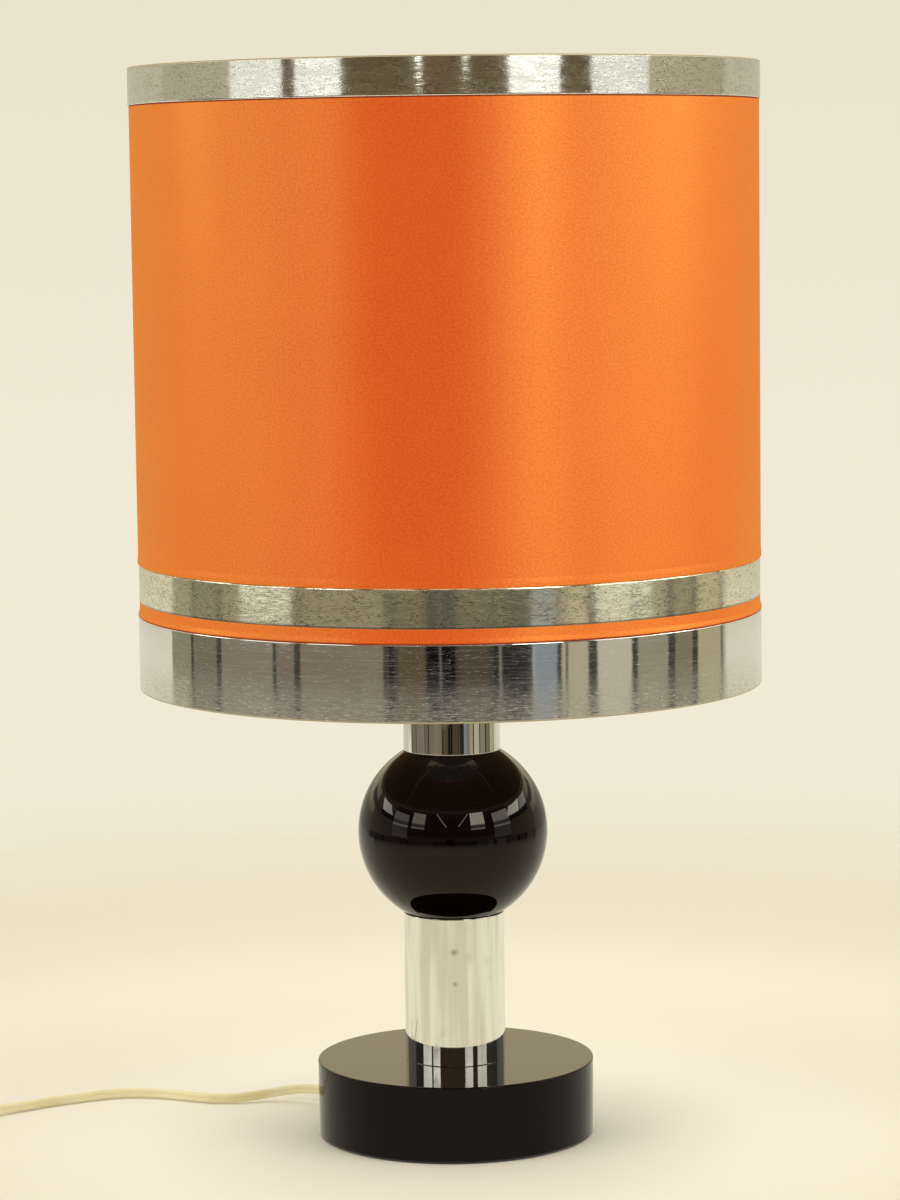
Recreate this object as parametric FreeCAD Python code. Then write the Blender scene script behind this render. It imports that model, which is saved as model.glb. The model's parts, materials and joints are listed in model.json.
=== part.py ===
import FreeCAD, Part
import math
import os

# Table lamp with a black glass globe between two chrome tubes and a banded drum shade.
# Millimetres. The origin is the bottom centre of the base, +Z is up, and -Y is the front.

V = FreeCAD.Vector
ORIGIN = V(0, 0, 0)
UP = V(0, 0, 1)

# Clearances
slip = 0.05                 # between pieces of one assembly that are pushed together
glue_gap = 0.12             # between the layers of the shade
free = 0.3                  # between curved pieces that turn or lift past each other
pin_play = 0.05             # radial play of the rocker on its pin
press_play = 0.01           # radial play of a pin in the hole that holds it
overcut = 1.0               # how far a cut runs past the face that it opens

# Base: a pressed cover over a cast weight, closed below by a board and felt
base_diameter = 157.2
base_height = 43.0
base_wall = 2.0
base_edge_radius = 0.8
felt_thickness = 1.2
felt_inset = 0.6
board_thickness = 1.6
weight_thickness = 12.0
weight_gap = 2.6            # round the weight, inside the cover
weight_recess_radius = 24.0
weight_recess_depth = 2.0
weight_draft = 1.0

# Threaded rod through the lamp, with its nuts and washer
rod_diameter = 10.0
rod_bore = 7.2
rod_chamfer = 0.5
rod_hole_clearance = 0.2
rod_tail = 2.0              # below the lower nut
rod_head = 10.5             # into the lampholder
washer_diameter = 40.0
washer_thickness = 1.5
nut_across_flats = 14.0
nut_height = 5.0
lock_nut_height = 4.0
nut_chamfer = 0.8

# Column, globe and neck
column_diameter = 57.0
column_length = 84.55       # from the base to the outer edge of its upper rim
neck_diameter = 55.0
neck_length = 60.0
tube_wall = 1.0
globe_diameter = 107.6
globe_wall = 3.0
globe_hole_radius = 9.0
seat_thickness = 0.4        # rings between the glass and the tubes' rims
cup_thickness = 1.5
cup_depth = 6.0
cup_inset = 14.0            # of the upper cup in the column and the lower cup in the neck
cap_thickness = 1.2
cap_register = 3.0
cap_edge_radius = 0.5

# Lampholder for a 27 mm screw cap
holder_cap_height = 22.0
holder_cap_radius = 19.5
holder_cap_neck_radius = 8.5
holder_cap_neck_height = 4.0
holder_wall = 2.0
holder_shoulder_radius = 23.0
holder_shoulder_height = 2.5
holder_barrel_radius = 19.6
holder_barrel_height = 28.0
holder_barrel_chamfer = 1.0
holder_bore_radius = 15.5
holder_mouth_radius = 15.0
holder_mouth_lip = 1.5
core_radius = 17.0
core_height = 8.5
core_chamfer = 0.8
core_hole_radius = 2.2
shell_inner_radius = 13.6
shell_wall = 0.35
shell_height = 27.0
shell_hole_radius = 6.0
terminal_spread = 11.0
terminal_screw_radius = 1.5
terminal_head_radius = 2.6
terminal_head_height = 1.6
terminal_screw_length = 6.0
small_slot_width = 0.7      # of the screws in the lampholder
small_slot_depth = 0.8
grub_screw_radius = 1.5
grub_screw_length = 4.2
contact_width = 5.0
contact_thickness = 0.4
contact_rise = 2.6

# Bulb
bulb_length = 108.0
bulb_radius = 30.0
bulb_neck_radius = 14.0
bulb_glass_wall = 1.0
bulb_neck_lip = 1.0         # extra wall where the glass is sealed in the cap
bulb_tangent_angle = 40.0   # below the bulb's equator, where the neck's curve begins
bulb_cap_radius = 13.2
bulb_cap_wall = 0.3
bulb_cap_shoulder = 2.2     # slant at the cap's foot
bulb_cap_height = 21.5
bulb_insulator_height = 4.0
bulb_insulator_margin = 0.8 # round the foot contact
bulb_foot_height = 1.3
bulb_foot_radius = 4.6
bulb_foot_flat = 2.5
bulb_foot_edge = 0.4
bulb_neck_in_cap = 8.0
bulb_stem_radius = 3.2
bulb_stem_height = 34.0
bulb_stem_shoulder = 1.5
bulb_stem_chamfer = 1.0
bulb_flare_height = 2.0
filament_radius = 11.0
filament_wire = 0.8
filament_lead_gap = 2.4
filament_rise = 14.0        # of its wires above the glass stem

# Shade: pieces lie on a liner, from the top rim down
shade_diameter = 350.0
shade_bottom = 259.4
shade_height = 345.2
top_band_width = 20.9
main_panel_width = 253.8
middle_band_width = 21.0
stripe_width = 8.1
liner_wall = 0.6
cover_thickness = 1.15      # from the liner to the face of the main panel
top_band_proud = 0.5
bottom_band_proud = 0.3
middle_band_set_back = 0.4
hem_proud = 0.35            # lower edge of the main panel, rolled over the middle band
hem_height = 5.0
hem_overlap = 1.5
stripe_set_back = 0.45      # upper edge of the stripe
stripe_flare = 0.6          # lower edge of the stripe
stripe_flare_height = 3.2
stripe_lean = 0.1           # of its flat part, out towards the flare
rolled_edge = 0.5
lap_angle = 90.0            # round the shade, at the back
lap_width = 12.0
lap_rise = 0.35             # of the free edge above the cover

# Shade frame
frame_wire = 3.0
frame_wire_inset = 2.2      # of the wire's centre from the shade's rim
spoke_wire = 3.2
spoke_count = 3
spoke_bend_radius = 10.0
spoke_start_radius = 25.2
first_spoke_angle = 90.0
fitter_thickness = 1.5
fitter_outer_radius = 29.0
fitter_play = 0.7
tape_thickness = 0.35
tape_height = 9.0
tape_foot = 2.5             # from the wire to where the tape lies flat on the liner
tape_fold = 1.0

# Shade ring on the lampholder
ring_flange_radius = 27.5
ring_flange_height = 1.8
ring_body_radius = 23.4
ring_height = 9.5
ring_notch_count = 12
ring_notch_radius = 2.2
ring_notch_depth = 1.2
ring_taper = 0.8

# Cord: a flat twin lead standing on its edge. Its solids are round tubes as thick as it is wide.
cord_diameter = 5.8
cord_floor_gap = 0.05
cord_exit_angle = 141.0     # round from +X, at the back left
cord_exit_height = 8.6
cord_lead = 12.5            # straight run where the cord leaves the bushing and enters the switch
far_cord_lead = 16.0        # the same at the switch's other end, the coil and the plug
bushing_barrel_radius = 4.4
bushing_flange_radius = 5.7
bushing_flange_thickness = 1.8
bushing_sleeve_length = 20.0
bushing_sleeve_radius = 5.0
bushing_tip_radius = 3.7
bushing_bore_clearance = 0.1
inner_cord_low = 6.3        # height at which the cord runs to the rod inside the base
inner_cord_bend = 14.0
inner_cord_level = 60.0     # distance from the axis at which it begins to drop
inner_cord_floor_start = 34.0
corner_share = 0.45         # of the shorter run that a corner's arc may take

# Routes of the free stretches, chosen by hand: x, y and height of the centre line
floor_height = cord_diameter / 2 + cord_floor_gap
free_route = [
    (-99.5, 75.0, 6.4),
    (-116.0, 74.5, 3.8),
    (-132.0, 69.5, floor_height),
    (-149.0, 71.5, floor_height),
    (-172.0, 84.5, floor_height),
    (-199.0, 89.0, floor_height),
    (-231.0, 74.0, floor_height),
    (-262.0, 52.5, floor_height),
    (-278.0, 38.0, 4.4),
]
link_route = [
    (-374.5, -34.0, 4.8),
    (-393.0, -29.5, floor_height),
    (-406.5, -15.5, floor_height),
    (-411.5, 3.5, floor_height),
    (-409.0, 27.0, floor_height),
    (-403.5, 48.5, floor_height),
]
tail_route = [
    (-399.3, 131.5, 7.8),
]

# Coil of the length that is put away
coil_centre = (-360.0, 90.0)
coil_middle_radius = 34.0
coil_pitch = 6.6
coil_turns_per_layer = 2.75
coil_climb_turns = 0.5
coil_lead_angle = 180.0     # where the cord comes in, round from +X

# Switch in the cord
switch_centre = (-320.5, 1.5)
switch_heading = 221.0      # of the cord that leaves it, round from +X
switch_length = 62.0
switch_end_width = 11.0
switch_width = 25.0
switch_shoulder = 17.0      # from the middle to where it begins to narrow
switch_bow = (1.0, 1.4)     # of the curve from shoulder to end, past their middle
switch_height = 15.0
switch_parting = 7.4
switch_wall = 1.8
switch_edge_radius = 2.4
switch_seam = 0.15
window_length = 20.6
window_width = 11.0
rocker_end_radius = 10.0
rocker_width = 10.4
rocker_top_angle = 35.0
rocker_bottom_angle = -5.0
rocker_valley = 4.3         # above the pin
rocker_hub_radius = 2.8
rocker_throw = 14.0         # whole swing, in degrees
pivot_height = 10.5
pivot_diameter = 2.0
pivot_length = 15.2
pivot_boss_width = 2.2
pivot_boss_half_length = 2.6
pivot_boss_drop = 2.4       # of the boss below the pin's centre
switch_screw_places = ((12.5, 7.6), (-12.5, -7.6))
switch_screw_radius = 1.4
switch_screw_head_radius = 2.6
switch_screw_head_height = 1.6
switch_screw_recess = 0.5
switch_screw_length = 10.0
switch_screw_slot = 0.8
switch_post_radius = 3.0
switch_post_end = 12.0
terminal_block = (6.0, 5.0, 4.0)
terminal_block_place = 16.5
terminal_block_hole = 1.2
leaf_length = 12.0
leaf_width = 4.0
leaf_thickness = 0.5
leaf_gap = 0.4

# Plug with two round pins
plug_cord_end = (-378.8, 163.2)
plug_heading = 50.0
plug_width = 35.3
plug_thickness = 13.7
plug_body_length = 30.0
plug_relief_length = 16.0
plug_corner_radius = 5.6
plug_waist_place = 9.0      # from the neck to the waist
plug_waist_width = 22.0
plug_waist_thickness = 12.0
plug_shoulder_place = 18.6  # from the neck to where the body has its whole width
plug_neck_size = 9.6
plug_neck_corner = 3.8
plug_tail_size = 7.4
plug_tail_corner = 3.0
plug_pin_diameter = 4.0
plug_pin_length = 19.0
plug_pin_spacing = 18.6
plug_pin_seat = 8.0         # of the pin inside the body
plug_pin_tip = 1.0          # rounding
plug_pin_core_diameter = 2.6    # inside the body and the sleeve
plug_sleeve_length = 10.0   # insulation round the root of each pin
plug_sleeve_diameter = 3.4

# Radii and levels that follow from the sizes above
base_radius = base_diameter / 2
base_inner_radius = base_radius - base_wall
rod_radius = rod_diameter / 2
rod_hole_radius = rod_radius + rod_hole_clearance
column_radius = column_diameter / 2
neck_radius = neck_diameter / 2
globe_radius = globe_diameter / 2
cord_radius = cord_diameter / 2

weight_top = base_height - base_wall
weight_bottom = weight_top - weight_thickness
washer_top = weight_bottom + weight_recess_depth
nut_top = washer_top - washer_thickness
rod_bottom = nut_top - nut_height - rod_tail


def sphere_rise(radius):
    """Height between the globe's centre and the level where it is this wide."""
    return math.sqrt(globe_radius ** 2 - radius ** 2)


def seat_drop(radius):
    """Height of the seat ring, measured upright, where the globe is this wide."""
    return seat_thickness * globe_radius / sphere_rise(radius)


column_rim = base_height + column_length
globe_centre = column_rim + seat_drop(column_radius) + sphere_rise(column_radius)
neck_rim = globe_centre + sphere_rise(neck_radius) + seat_drop(neck_radius)
neck_top = neck_rim + neck_length
lock_nut_bottom = neck_top + cap_thickness
holder_bottom = lock_nut_bottom + lock_nut_height
rod_top = holder_bottom + rod_head
shoulder_bottom = holder_bottom + holder_cap_height
shoulder_top = shoulder_bottom + holder_shoulder_height
barrel_top = shoulder_top + holder_barrel_height
core_top = shoulder_bottom
core_bottom = core_top - core_height
shell_bottom = core_top
contact_top = shell_bottom + shell_wall + contact_rise
bulb_bottom = contact_top + free
bulb_top = bulb_bottom + bulb_length
bulb_centre = bulb_top - bulb_radius
bulb_cap_bottom = bulb_bottom + bulb_foot_height + bulb_insulator_height
bulb_cap_top = bulb_cap_bottom + bulb_cap_height
fitter_bottom = shoulder_top
fitter_top = fitter_bottom + fitter_thickness
fitter_hole_radius = holder_barrel_radius + fitter_play

panel_radius = shade_diameter / 2
liner_outer_radius = panel_radius - cover_thickness
liner_inner_radius = liner_outer_radius - liner_wall
cover_inner_radius = liner_outer_radius + glue_gap
shade_top = shade_bottom + shade_height
top_band_bottom = shade_top - top_band_width
main_panel_bottom = top_band_bottom - main_panel_width
middle_band_bottom = main_panel_bottom - middle_band_width
stripe_bottom = middle_band_bottom - stripe_width
frame_wire_radius = frame_wire / 2
frame_ring_radius = liner_inner_radius - glue_gap - frame_wire_radius
spoke_radius = spoke_wire / 2
spoke_leg_radius = frame_ring_radius - frame_wire_radius - tape_thickness - spoke_radius - 2 * slip
spoke_level = fitter_bottom - spoke_radius

exit_direction = V(math.cos(math.radians(cord_exit_angle)), math.sin(math.radians(cord_exit_angle)), 0)
sleeve_end = exit_direction * (base_radius + bushing_sleeve_length) + UP * cord_exit_height


def at(point):
    """A point of an outline, radius and height, as a place in the plane y = 0."""
    return V(point[0], 0, point[1])


def outline(*path):
    """A flat face in the plane y = 0. A step of the path is a corner (radius, height), or a pair of
    points for an arc that goes through the first and ends at the second."""
    edges = []
    here = path[0]
    for step in path[1:]:
        if isinstance(step[0], tuple):
            through, end = step
            edges.append(Part.Arc(at(here), at(through), at(end)).toShape())
        else:
            end = step
            edges.append(Part.LineSegment(at(here), at(end)).toShape())
        here = end
    if (at(here) - at(path[0])).Length > 1e-6:
        edges.append(Part.LineSegment(at(here), at(path[0])).toShape())
    return Part.Face(Part.Wire(edges))


def turned(*path):
    """A solid of revolution about the lamp's axis."""
    return outline(*path).revolve(ORIGIN, UP, 360)


def ring(inner, outer, bottom, top):
    """A plain ring or tube about the lamp's axis."""
    return turned((inner, bottom), (outer, bottom), (outer, top), (inner, top))


def on_circle(centre, radius, degrees):
    """A point of an outline at an angle on a circle, with 0 pointing out and 90 up."""
    turn = math.radians(degrees)
    return (centre[0] + radius * math.cos(turn), centre[1] + radius * math.sin(turn))


def placed(shape, heading, x, y, z=0.0):
    """The shape turned about the vertical by the heading, then moved."""
    moved = shape.copy()
    moved.rotate(ORIGIN, UP, heading)
    moved.translate(V(x, y, z))
    return moved


def hex_nut(bottom, height):
    """A hexagon nut with both faces chamfered at the corners."""
    across_corners = nut_across_flats / math.cos(math.radians(30))
    corners = [V(across_corners / 2 * math.cos(math.radians(60 * i)),
                 across_corners / 2 * math.sin(math.radians(60 * i)), bottom) for i in range(7)]
    prism = Part.Face(Part.makePolygon(corners)).extrude(UP * height)
    rim = across_corners / 2
    flat = rim - nut_chamfer
    rise = nut_chamfer / 2
    top = bottom + height
    cone = turned((0, bottom), (flat, bottom), (rim, bottom + rise), (rim, top - rise), (flat, top), (0, top))
    bore = ring(0, rod_radius + slip, bottom - overcut, top + overcut)
    return prism.common(cone).cut(bore)


# Base


def base_cover():
    """Pressed cover with a crisp turned edge, a hole for the rod and one for the cord bushing."""
    top = base_height
    edge = base_edge_radius
    corner = on_circle((base_radius - edge, top - edge), edge, 45)
    shell = turned(
        (rod_hole_radius, top),
        (base_radius - edge, top),
        (corner, (base_radius, top - edge)),
        (base_radius, felt_thickness),
        (base_inner_radius, felt_thickness),
        (base_inner_radius, top - base_wall),
        (rod_hole_radius, top - base_wall),
    )
    start = exit_direction * (base_inner_radius - base_wall) + UP * cord_exit_height
    hole = Part.makeCylinder(bushing_barrel_radius + slip, 3 * base_wall, start, exit_direction)
    return shell.cut(hole)


def base_weight():
    """Cast disc with a drafted rim and a recess for the washer."""
    rim = base_inner_radius - weight_gap
    return turned(
        (rod_hole_radius, weight_top),
        (rim, weight_top),
        (rim - weight_draft, weight_bottom),
        (weight_recess_radius, weight_bottom),
        (weight_recess_radius, washer_top),
        (rod_hole_radius, washer_top),
    )


def base_board():
    return ring(0, base_inner_radius - slip, felt_thickness, felt_thickness + board_thickness)


def base_felt():
    return ring(0, base_radius - felt_inset, 0, felt_thickness)


def cord_bushing():
    """Bushing in the wall of the base, drawn out into a tapered sleeve round the cord."""
    bore = cord_radius + bushing_bore_clearance
    wall_inside = math.sqrt(base_inner_radius ** 2 - bushing_flange_radius ** 2) - slip
    flange_inside = wall_inside - bushing_flange_thickness
    flange_outside = base_radius + bushing_flange_thickness
    tip = base_radius + bushing_sleeve_length
    body = turned(
        (bore, flange_inside),
        (bushing_flange_radius, flange_inside),
        (bushing_flange_radius, wall_inside),
        (bushing_barrel_radius, wall_inside),
        (bushing_barrel_radius, base_radius),
        (bushing_flange_radius, base_radius),
        (bushing_flange_radius, flange_outside),
        (bushing_sleeve_radius, flange_outside),
        (bushing_tip_radius, tip),
        (bore, tip),
    )
    body.rotate(ORIGIN, V(0, 1, 0), 90)
    return placed(body, cord_exit_angle, 0, 0, cord_exit_height)


def rod_washer():
    return ring(rod_hole_radius, washer_diameter / 2, nut_top, washer_top)


def rod_nut():
    return hex_nut(nut_top - nut_height, nut_height)


# Stem


def threaded_rod():
    """Hollow rod that clamps the whole stand together, from the base's nut to the lampholder."""
    return turned(
        (rod_bore / 2, rod_bottom),
        (rod_radius - rod_chamfer, rod_bottom),
        (rod_radius, rod_bottom + rod_chamfer),
        (rod_radius, rod_top - rod_chamfer),
        (rod_radius - rod_chamfer, rod_top),
        (rod_bore / 2, rod_top),
    )


def column_tube():
    """Tube whose upper rim is bevelled to the globe."""
    inner = column_radius - tube_wall
    inner_rim = globe_centre - sphere_rise(inner) - seat_drop(inner)
    return turned(
        (inner, base_height),
        (column_radius, base_height),
        (column_radius, column_rim),
        (inner, inner_rim),
    )


def neck_tube():
    """Tube whose lower rim is bevelled to the globe."""
    inner = neck_radius - tube_wall
    inner_rim = globe_centre + sphere_rise(inner) + seat_drop(inner)
    return turned(
        (inner, inner_rim),
        (neck_radius, neck_rim),
        (neck_radius, neck_top),
        (inner, neck_top),
    )


def seat_ring(radius, side):
    """Thin ring between a tube's rim and the globe, below it (side -1) or above it (side 1)."""
    inner = radius - tube_wall
    gap = slip / 2
    return turned(
        (inner, globe_centre + side * (sphere_rise(inner) + seat_drop(inner) - gap)),
        (radius, globe_centre + side * (sphere_rise(radius) + seat_drop(radius) - gap)),
        (radius, globe_centre + side * (sphere_rise(radius) + gap)),
        (inner, globe_centre + side * (sphere_rise(inner) + gap)),
    )


def globe_seat_lower():
    return seat_ring(column_radius, -1)


def globe_seat_upper():
    return seat_ring(neck_radius, 1)


def globe():
    """Blown glass shell with a hole at each pole for the rod."""
    inner_radius = globe_radius - globe_wall
    outer_pole = math.sqrt(globe_radius ** 2 - globe_hole_radius ** 2)
    inner_pole = math.sqrt(inner_radius ** 2 - globe_hole_radius ** 2)
    return turned(
        (globe_hole_radius, globe_centre - outer_pole),
        ((globe_radius, globe_centre), (globe_hole_radius, globe_centre + outer_pole)),
        (globe_hole_radius, globe_centre + inner_pole),
        ((inner_radius, globe_centre), (globe_hole_radius, globe_centre - inner_pole)),
    )


def centring_cup(radius, plate, side):
    """Pressed cup that centres the rod in a tube. Its plate's outer face is at the given height and
    its rim points up (side 1) or down (side -1)."""
    outer = radius - tube_wall - slip
    return turned(
        (rod_hole_radius, plate),
        (outer, plate),
        (outer, plate + side * cup_depth),
        (outer - cup_thickness, plate + side * cup_depth),
        (outer - cup_thickness, plate + side * cup_thickness),
        (rod_hole_radius, plate + side * cup_thickness),
    )


def column_cup_lower():
    return centring_cup(column_radius, base_height, 1)


def column_cup_upper():
    return centring_cup(column_radius, column_rim - cup_inset, -1)


def neck_cup():
    return centring_cup(neck_radius, neck_rim + cup_inset, 1)


def neck_cap():
    """Cap on the neck, with a register inside the tube."""
    register = neck_radius - tube_wall - slip
    top = neck_top + cap_thickness
    edge = cap_edge_radius
    corner = on_circle((neck_radius - edge, top - edge), edge, 45)
    return turned(
        (rod_hole_radius, top),
        (neck_radius - edge, top),
        (corner, (neck_radius, top - edge)),
        (neck_radius, neck_top),
        (register, neck_top),
        (register, neck_top - cap_register),
        (register - cap_thickness, neck_top - cap_register),
        (register - cap_thickness, neck_top),
        (rod_hole_radius, neck_top),
    )


def lock_nut():
    return hex_nut(lock_nut_bottom, lock_nut_height)


# Lampholder


def holder_cap():
    """Lower half of the lampholder: a bell that screws on the rod, with a bore for the grub screw."""
    neck_top_level = holder_bottom + holder_cap_neck_height
    bell_top = neck_top_level + (holder_cap_radius - holder_cap_neck_radius)
    bell_centre = (holder_cap_neck_radius, bell_top)
    bell_radius = holder_cap_radius - holder_cap_neck_radius
    inner_radius = bell_radius - holder_wall
    inside = holder_cap_radius - holder_wall
    bell = turned(
        (rod_radius + slip, holder_bottom),
        (holder_cap_neck_radius, holder_bottom),
        (holder_cap_neck_radius, neck_top_level),
        (on_circle(bell_centre, bell_radius, -45), (holder_cap_radius, bell_top)),
        (holder_cap_radius, shoulder_bottom),
        (inside, shoulder_bottom),
        (inside, bell_top),
        (on_circle(bell_centre, inner_radius, -45), (holder_cap_neck_radius, neck_top_level + holder_wall)),
        (rod_radius + slip, neck_top_level + holder_wall),
    )
    bore = Part.makeCylinder(grub_screw_radius + slip, holder_cap_neck_radius,
                             V(0, 0, holder_bottom + holder_cap_neck_height / 2), V(0, 1, 0))
    return bell.cut(bore)


def holder_grub_screw():
    start = V(0, rod_radius + slip, holder_bottom + holder_cap_neck_height / 2)
    screw = Part.makeCylinder(grub_screw_radius, grub_screw_length, start, V(0, 1, 0))
    slot = Part.makeBox(2 * grub_screw_radius, small_slot_depth, small_slot_width)
    slot.translate(V(-grub_screw_radius, start.y + grub_screw_length - small_slot_depth,
                     start.z - small_slot_width / 2))
    return screw.cut(slot)


def holder_sleeve():
    """Upper half of the lampholder: the shoulder that carries the shade and the threaded barrel."""
    return turned(
        (holder_bore_radius, shoulder_bottom),
        (holder_shoulder_radius, shoulder_bottom),
        (holder_shoulder_radius, shoulder_top),
        (holder_barrel_radius, shoulder_top),
        (holder_barrel_radius, barrel_top - holder_barrel_chamfer),
        (holder_barrel_radius - holder_barrel_chamfer, barrel_top),
        (holder_mouth_radius, barrel_top),
        (holder_mouth_radius, barrel_top - holder_mouth_lip),
        (holder_bore_radius, barrel_top - holder_mouth_lip),
    )


def holder_core():
    """Ceramic block with holes for the centre contact's rivet and the two terminals."""
    block = turned(
        (0, core_bottom),
        (core_radius - core_chamfer, core_bottom),
        (core_radius, core_bottom + core_chamfer),
        (core_radius, core_top),
        (0, core_top),
    )
    holes = [ring(0, core_hole_radius, core_bottom - overcut, core_top + overcut)]
    for x in (-terminal_spread, terminal_spread):
        holes.append(Part.makeCylinder(terminal_screw_radius + slip, core_height, V(x, 0, core_bottom), UP))
    return block.cut(holes)


def holder_shell():
    """Brass shell that takes the bulb's cap, with a floor fixed to the core."""
    outer = shell_inner_radius + shell_wall
    top = shell_bottom + shell_height
    return turned(
        (shell_hole_radius, shell_bottom),
        (outer, shell_bottom),
        (outer, top),
        (shell_inner_radius, top),
        (shell_inner_radius, shell_bottom + shell_wall),
        (shell_hole_radius, shell_bottom + shell_wall),
    )


def holder_contact():
    """Brass tongue riveted in the core and bent up under the bulb's foot."""
    rivet = ring(0, core_hole_radius - slip, core_top - core_height / 2, core_top)
    half = contact_width / 2
    foot = core_top
    lift = contact_top - contact_thickness
    side = outline(
        (-half, foot),
        (half, foot),
        (half, contact_top),
        (-half, contact_top),
        (-half, lift),
        (half - contact_thickness, lift),
        (half - contact_thickness, foot + contact_thickness),
        (-half, foot + contact_thickness),
    )
    tongue = side.extrude(V(0, contact_width, 0))
    tongue.translate(V(0, -contact_width / 2, 0))
    return rivet.fuse(tongue).removeSplitter()


def terminal_screws():
    screws = []
    for x in (-terminal_spread, terminal_spread):
        place = V(x, 0, core_bottom - terminal_head_height)
        head = Part.makeCylinder(terminal_head_radius, terminal_head_height, place, UP)
        slot = Part.makeBox(2 * terminal_head_radius, small_slot_width, small_slot_depth,
                            place - V(terminal_head_radius, small_slot_width / 2, 0))
        under_head = place + UP * terminal_head_height
        shank = Part.makeCylinder(terminal_screw_radius, terminal_screw_length, under_head, UP)
        screws.append(head.cut(slot).fuse(shank))
    return Part.makeCompound(screws)


def shade_ring():
    """Threaded ring that clamps the shade's fitter, with a notched flange for the fingers."""
    inner = holder_barrel_radius + free
    bottom = fitter_top + slip
    flange_top = bottom + ring_flange_height
    top = bottom + ring_height
    body = turned(
        (inner, bottom),
        (ring_flange_radius, bottom),
        (ring_flange_radius, flange_top),
        (ring_body_radius, flange_top),
        (ring_body_radius - ring_taper, top),
        (inner, top),
    )
    notches = []
    for i in range(ring_notch_count):
        angle = math.radians(360 / ring_notch_count * i)
        reach = ring_flange_radius + ring_notch_radius - ring_notch_depth
        place = V(reach * math.cos(angle), reach * math.sin(angle), bottom - overcut)
        notches.append(Part.makeCylinder(ring_notch_radius, ring_flange_height + 2 * overcut, place, UP))
    return body.cut(notches)


# Bulb


def bulb_curve(offset):
    """Outline of the bulb's glass, drawn in by an offset, from the top down to the neck: the crown's
    radius, the arc that joins it to the neck and the neck's radius."""
    angle = math.radians(bulb_tangent_angle)
    crown = bulb_radius - offset
    neck = bulb_neck_radius - offset
    blend = (bulb_radius * math.cos(angle) - bulb_neck_radius) / (1 - math.cos(angle)) + offset
    join = (crown * math.cos(angle), bulb_centre - crown * math.sin(angle))
    blend_centre = (neck + blend, join[1] - blend * math.sin(angle))
    half_way = on_circle(blend_centre, blend, 180 - bulb_tangent_angle / 2)
    return crown, join, half_way, (neck, blend_centre[1])


def bulb_glass():
    """Pear-shaped glass whose neck ends inside the cap."""
    crown, join, half_way, neck = bulb_curve(0)
    inner_crown, inner_join, inner_half_way, inner_neck = bulb_curve(bulb_glass_wall)
    upper = bulb_tangent_angle / 2 + 45 - bulb_tangent_angle
    seat = bulb_cap_radius - bulb_cap_wall - slip
    foot = bulb_cap_top - bulb_neck_in_cap
    centre = (0, bulb_centre)
    return turned(
        (0, bulb_centre + crown),
        (on_circle(centre, crown, upper), join),
        (half_way, neck),
        (neck[0], bulb_cap_top + slip),
        (seat, bulb_cap_top + slip),
        (seat, foot),
        (inner_neck[0] - bulb_neck_lip, foot),
        (inner_neck[0] - bulb_neck_lip, bulb_cap_top),
        inner_neck,
        (inner_half_way, inner_join),
        (on_circle(centre, inner_crown, upper), (0, bulb_centre + inner_crown)),
    )


def bulb_cap():
    """Screw cap of thin metal, turned in at its foot to hold the insulator."""
    outer = bulb_cap_radius
    inner = outer - bulb_cap_wall
    foot = bulb_cap_bottom
    return turned(
        (outer - bulb_cap_shoulder, foot),
        (outer, foot + bulb_cap_shoulder),
        (outer, bulb_cap_top),
        (inner, bulb_cap_top),
        (inner, foot + bulb_cap_shoulder + bulb_cap_wall / 2),
        (inner - bulb_cap_shoulder, foot + bulb_cap_wall / 2),
    )


def bulb_insulator():
    top = bulb_cap_bottom
    bottom = top - bulb_insulator_height
    wide = bulb_cap_radius - bulb_cap_shoulder - bulb_cap_wall / 2
    return turned((0, bottom), (bulb_foot_radius + bulb_insulator_margin, bottom), (wide, top), (0, top))


def bulb_foot():
    """Round contact at the bottom of the bulb."""
    top = bulb_bottom + bulb_foot_height
    return turned(
        (0, bulb_bottom),
        (bulb_foot_flat, bulb_bottom),
        (bulb_foot_radius, top - bulb_foot_edge),
        (bulb_foot_radius, top),
        (0, top),
    )


def bulb_stem():
    """Glass stem with a flare that closes the neck."""
    bottom = bulb_cap_top - bulb_neck_in_cap
    flare = bulb_neck_radius - bulb_glass_wall - bulb_neck_lip - slip
    top = bottom + bulb_stem_height
    return turned(
        (0, bottom),
        (flare, bottom),
        (flare, bottom + bulb_flare_height),
        (bulb_stem_radius + bulb_stem_shoulder, bottom + 3 * bulb_flare_height),
        (bulb_stem_radius, bottom + 5 * bulb_flare_height),
        (bulb_stem_radius, top - bulb_stem_chamfer),
        (bulb_stem_radius - bulb_stem_chamfer, top),
        (0, top),
    )


def bulb_filament():
    """Two lead wires from the stem and the filament between them, in one bow."""
    stem_top = bulb_cap_top - bulb_neck_in_cap + bulb_stem_height + filament_wire / 2 + slip
    level = stem_top + filament_rise
    half = filament_lead_gap / 2
    route = [
        (-half, 0, stem_top),
        (-filament_radius, 0, level),
        (0, filament_radius / 2, level),
        (filament_radius, 0, level),
        (half, 0, stem_top),
    ]
    return route_tube(route, "bulb_filament", filament_wire, 2 * filament_wire)


# Shade


def shade_liner():
    return ring(liner_inner_radius, liner_outer_radius, shade_bottom, shade_top)


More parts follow.
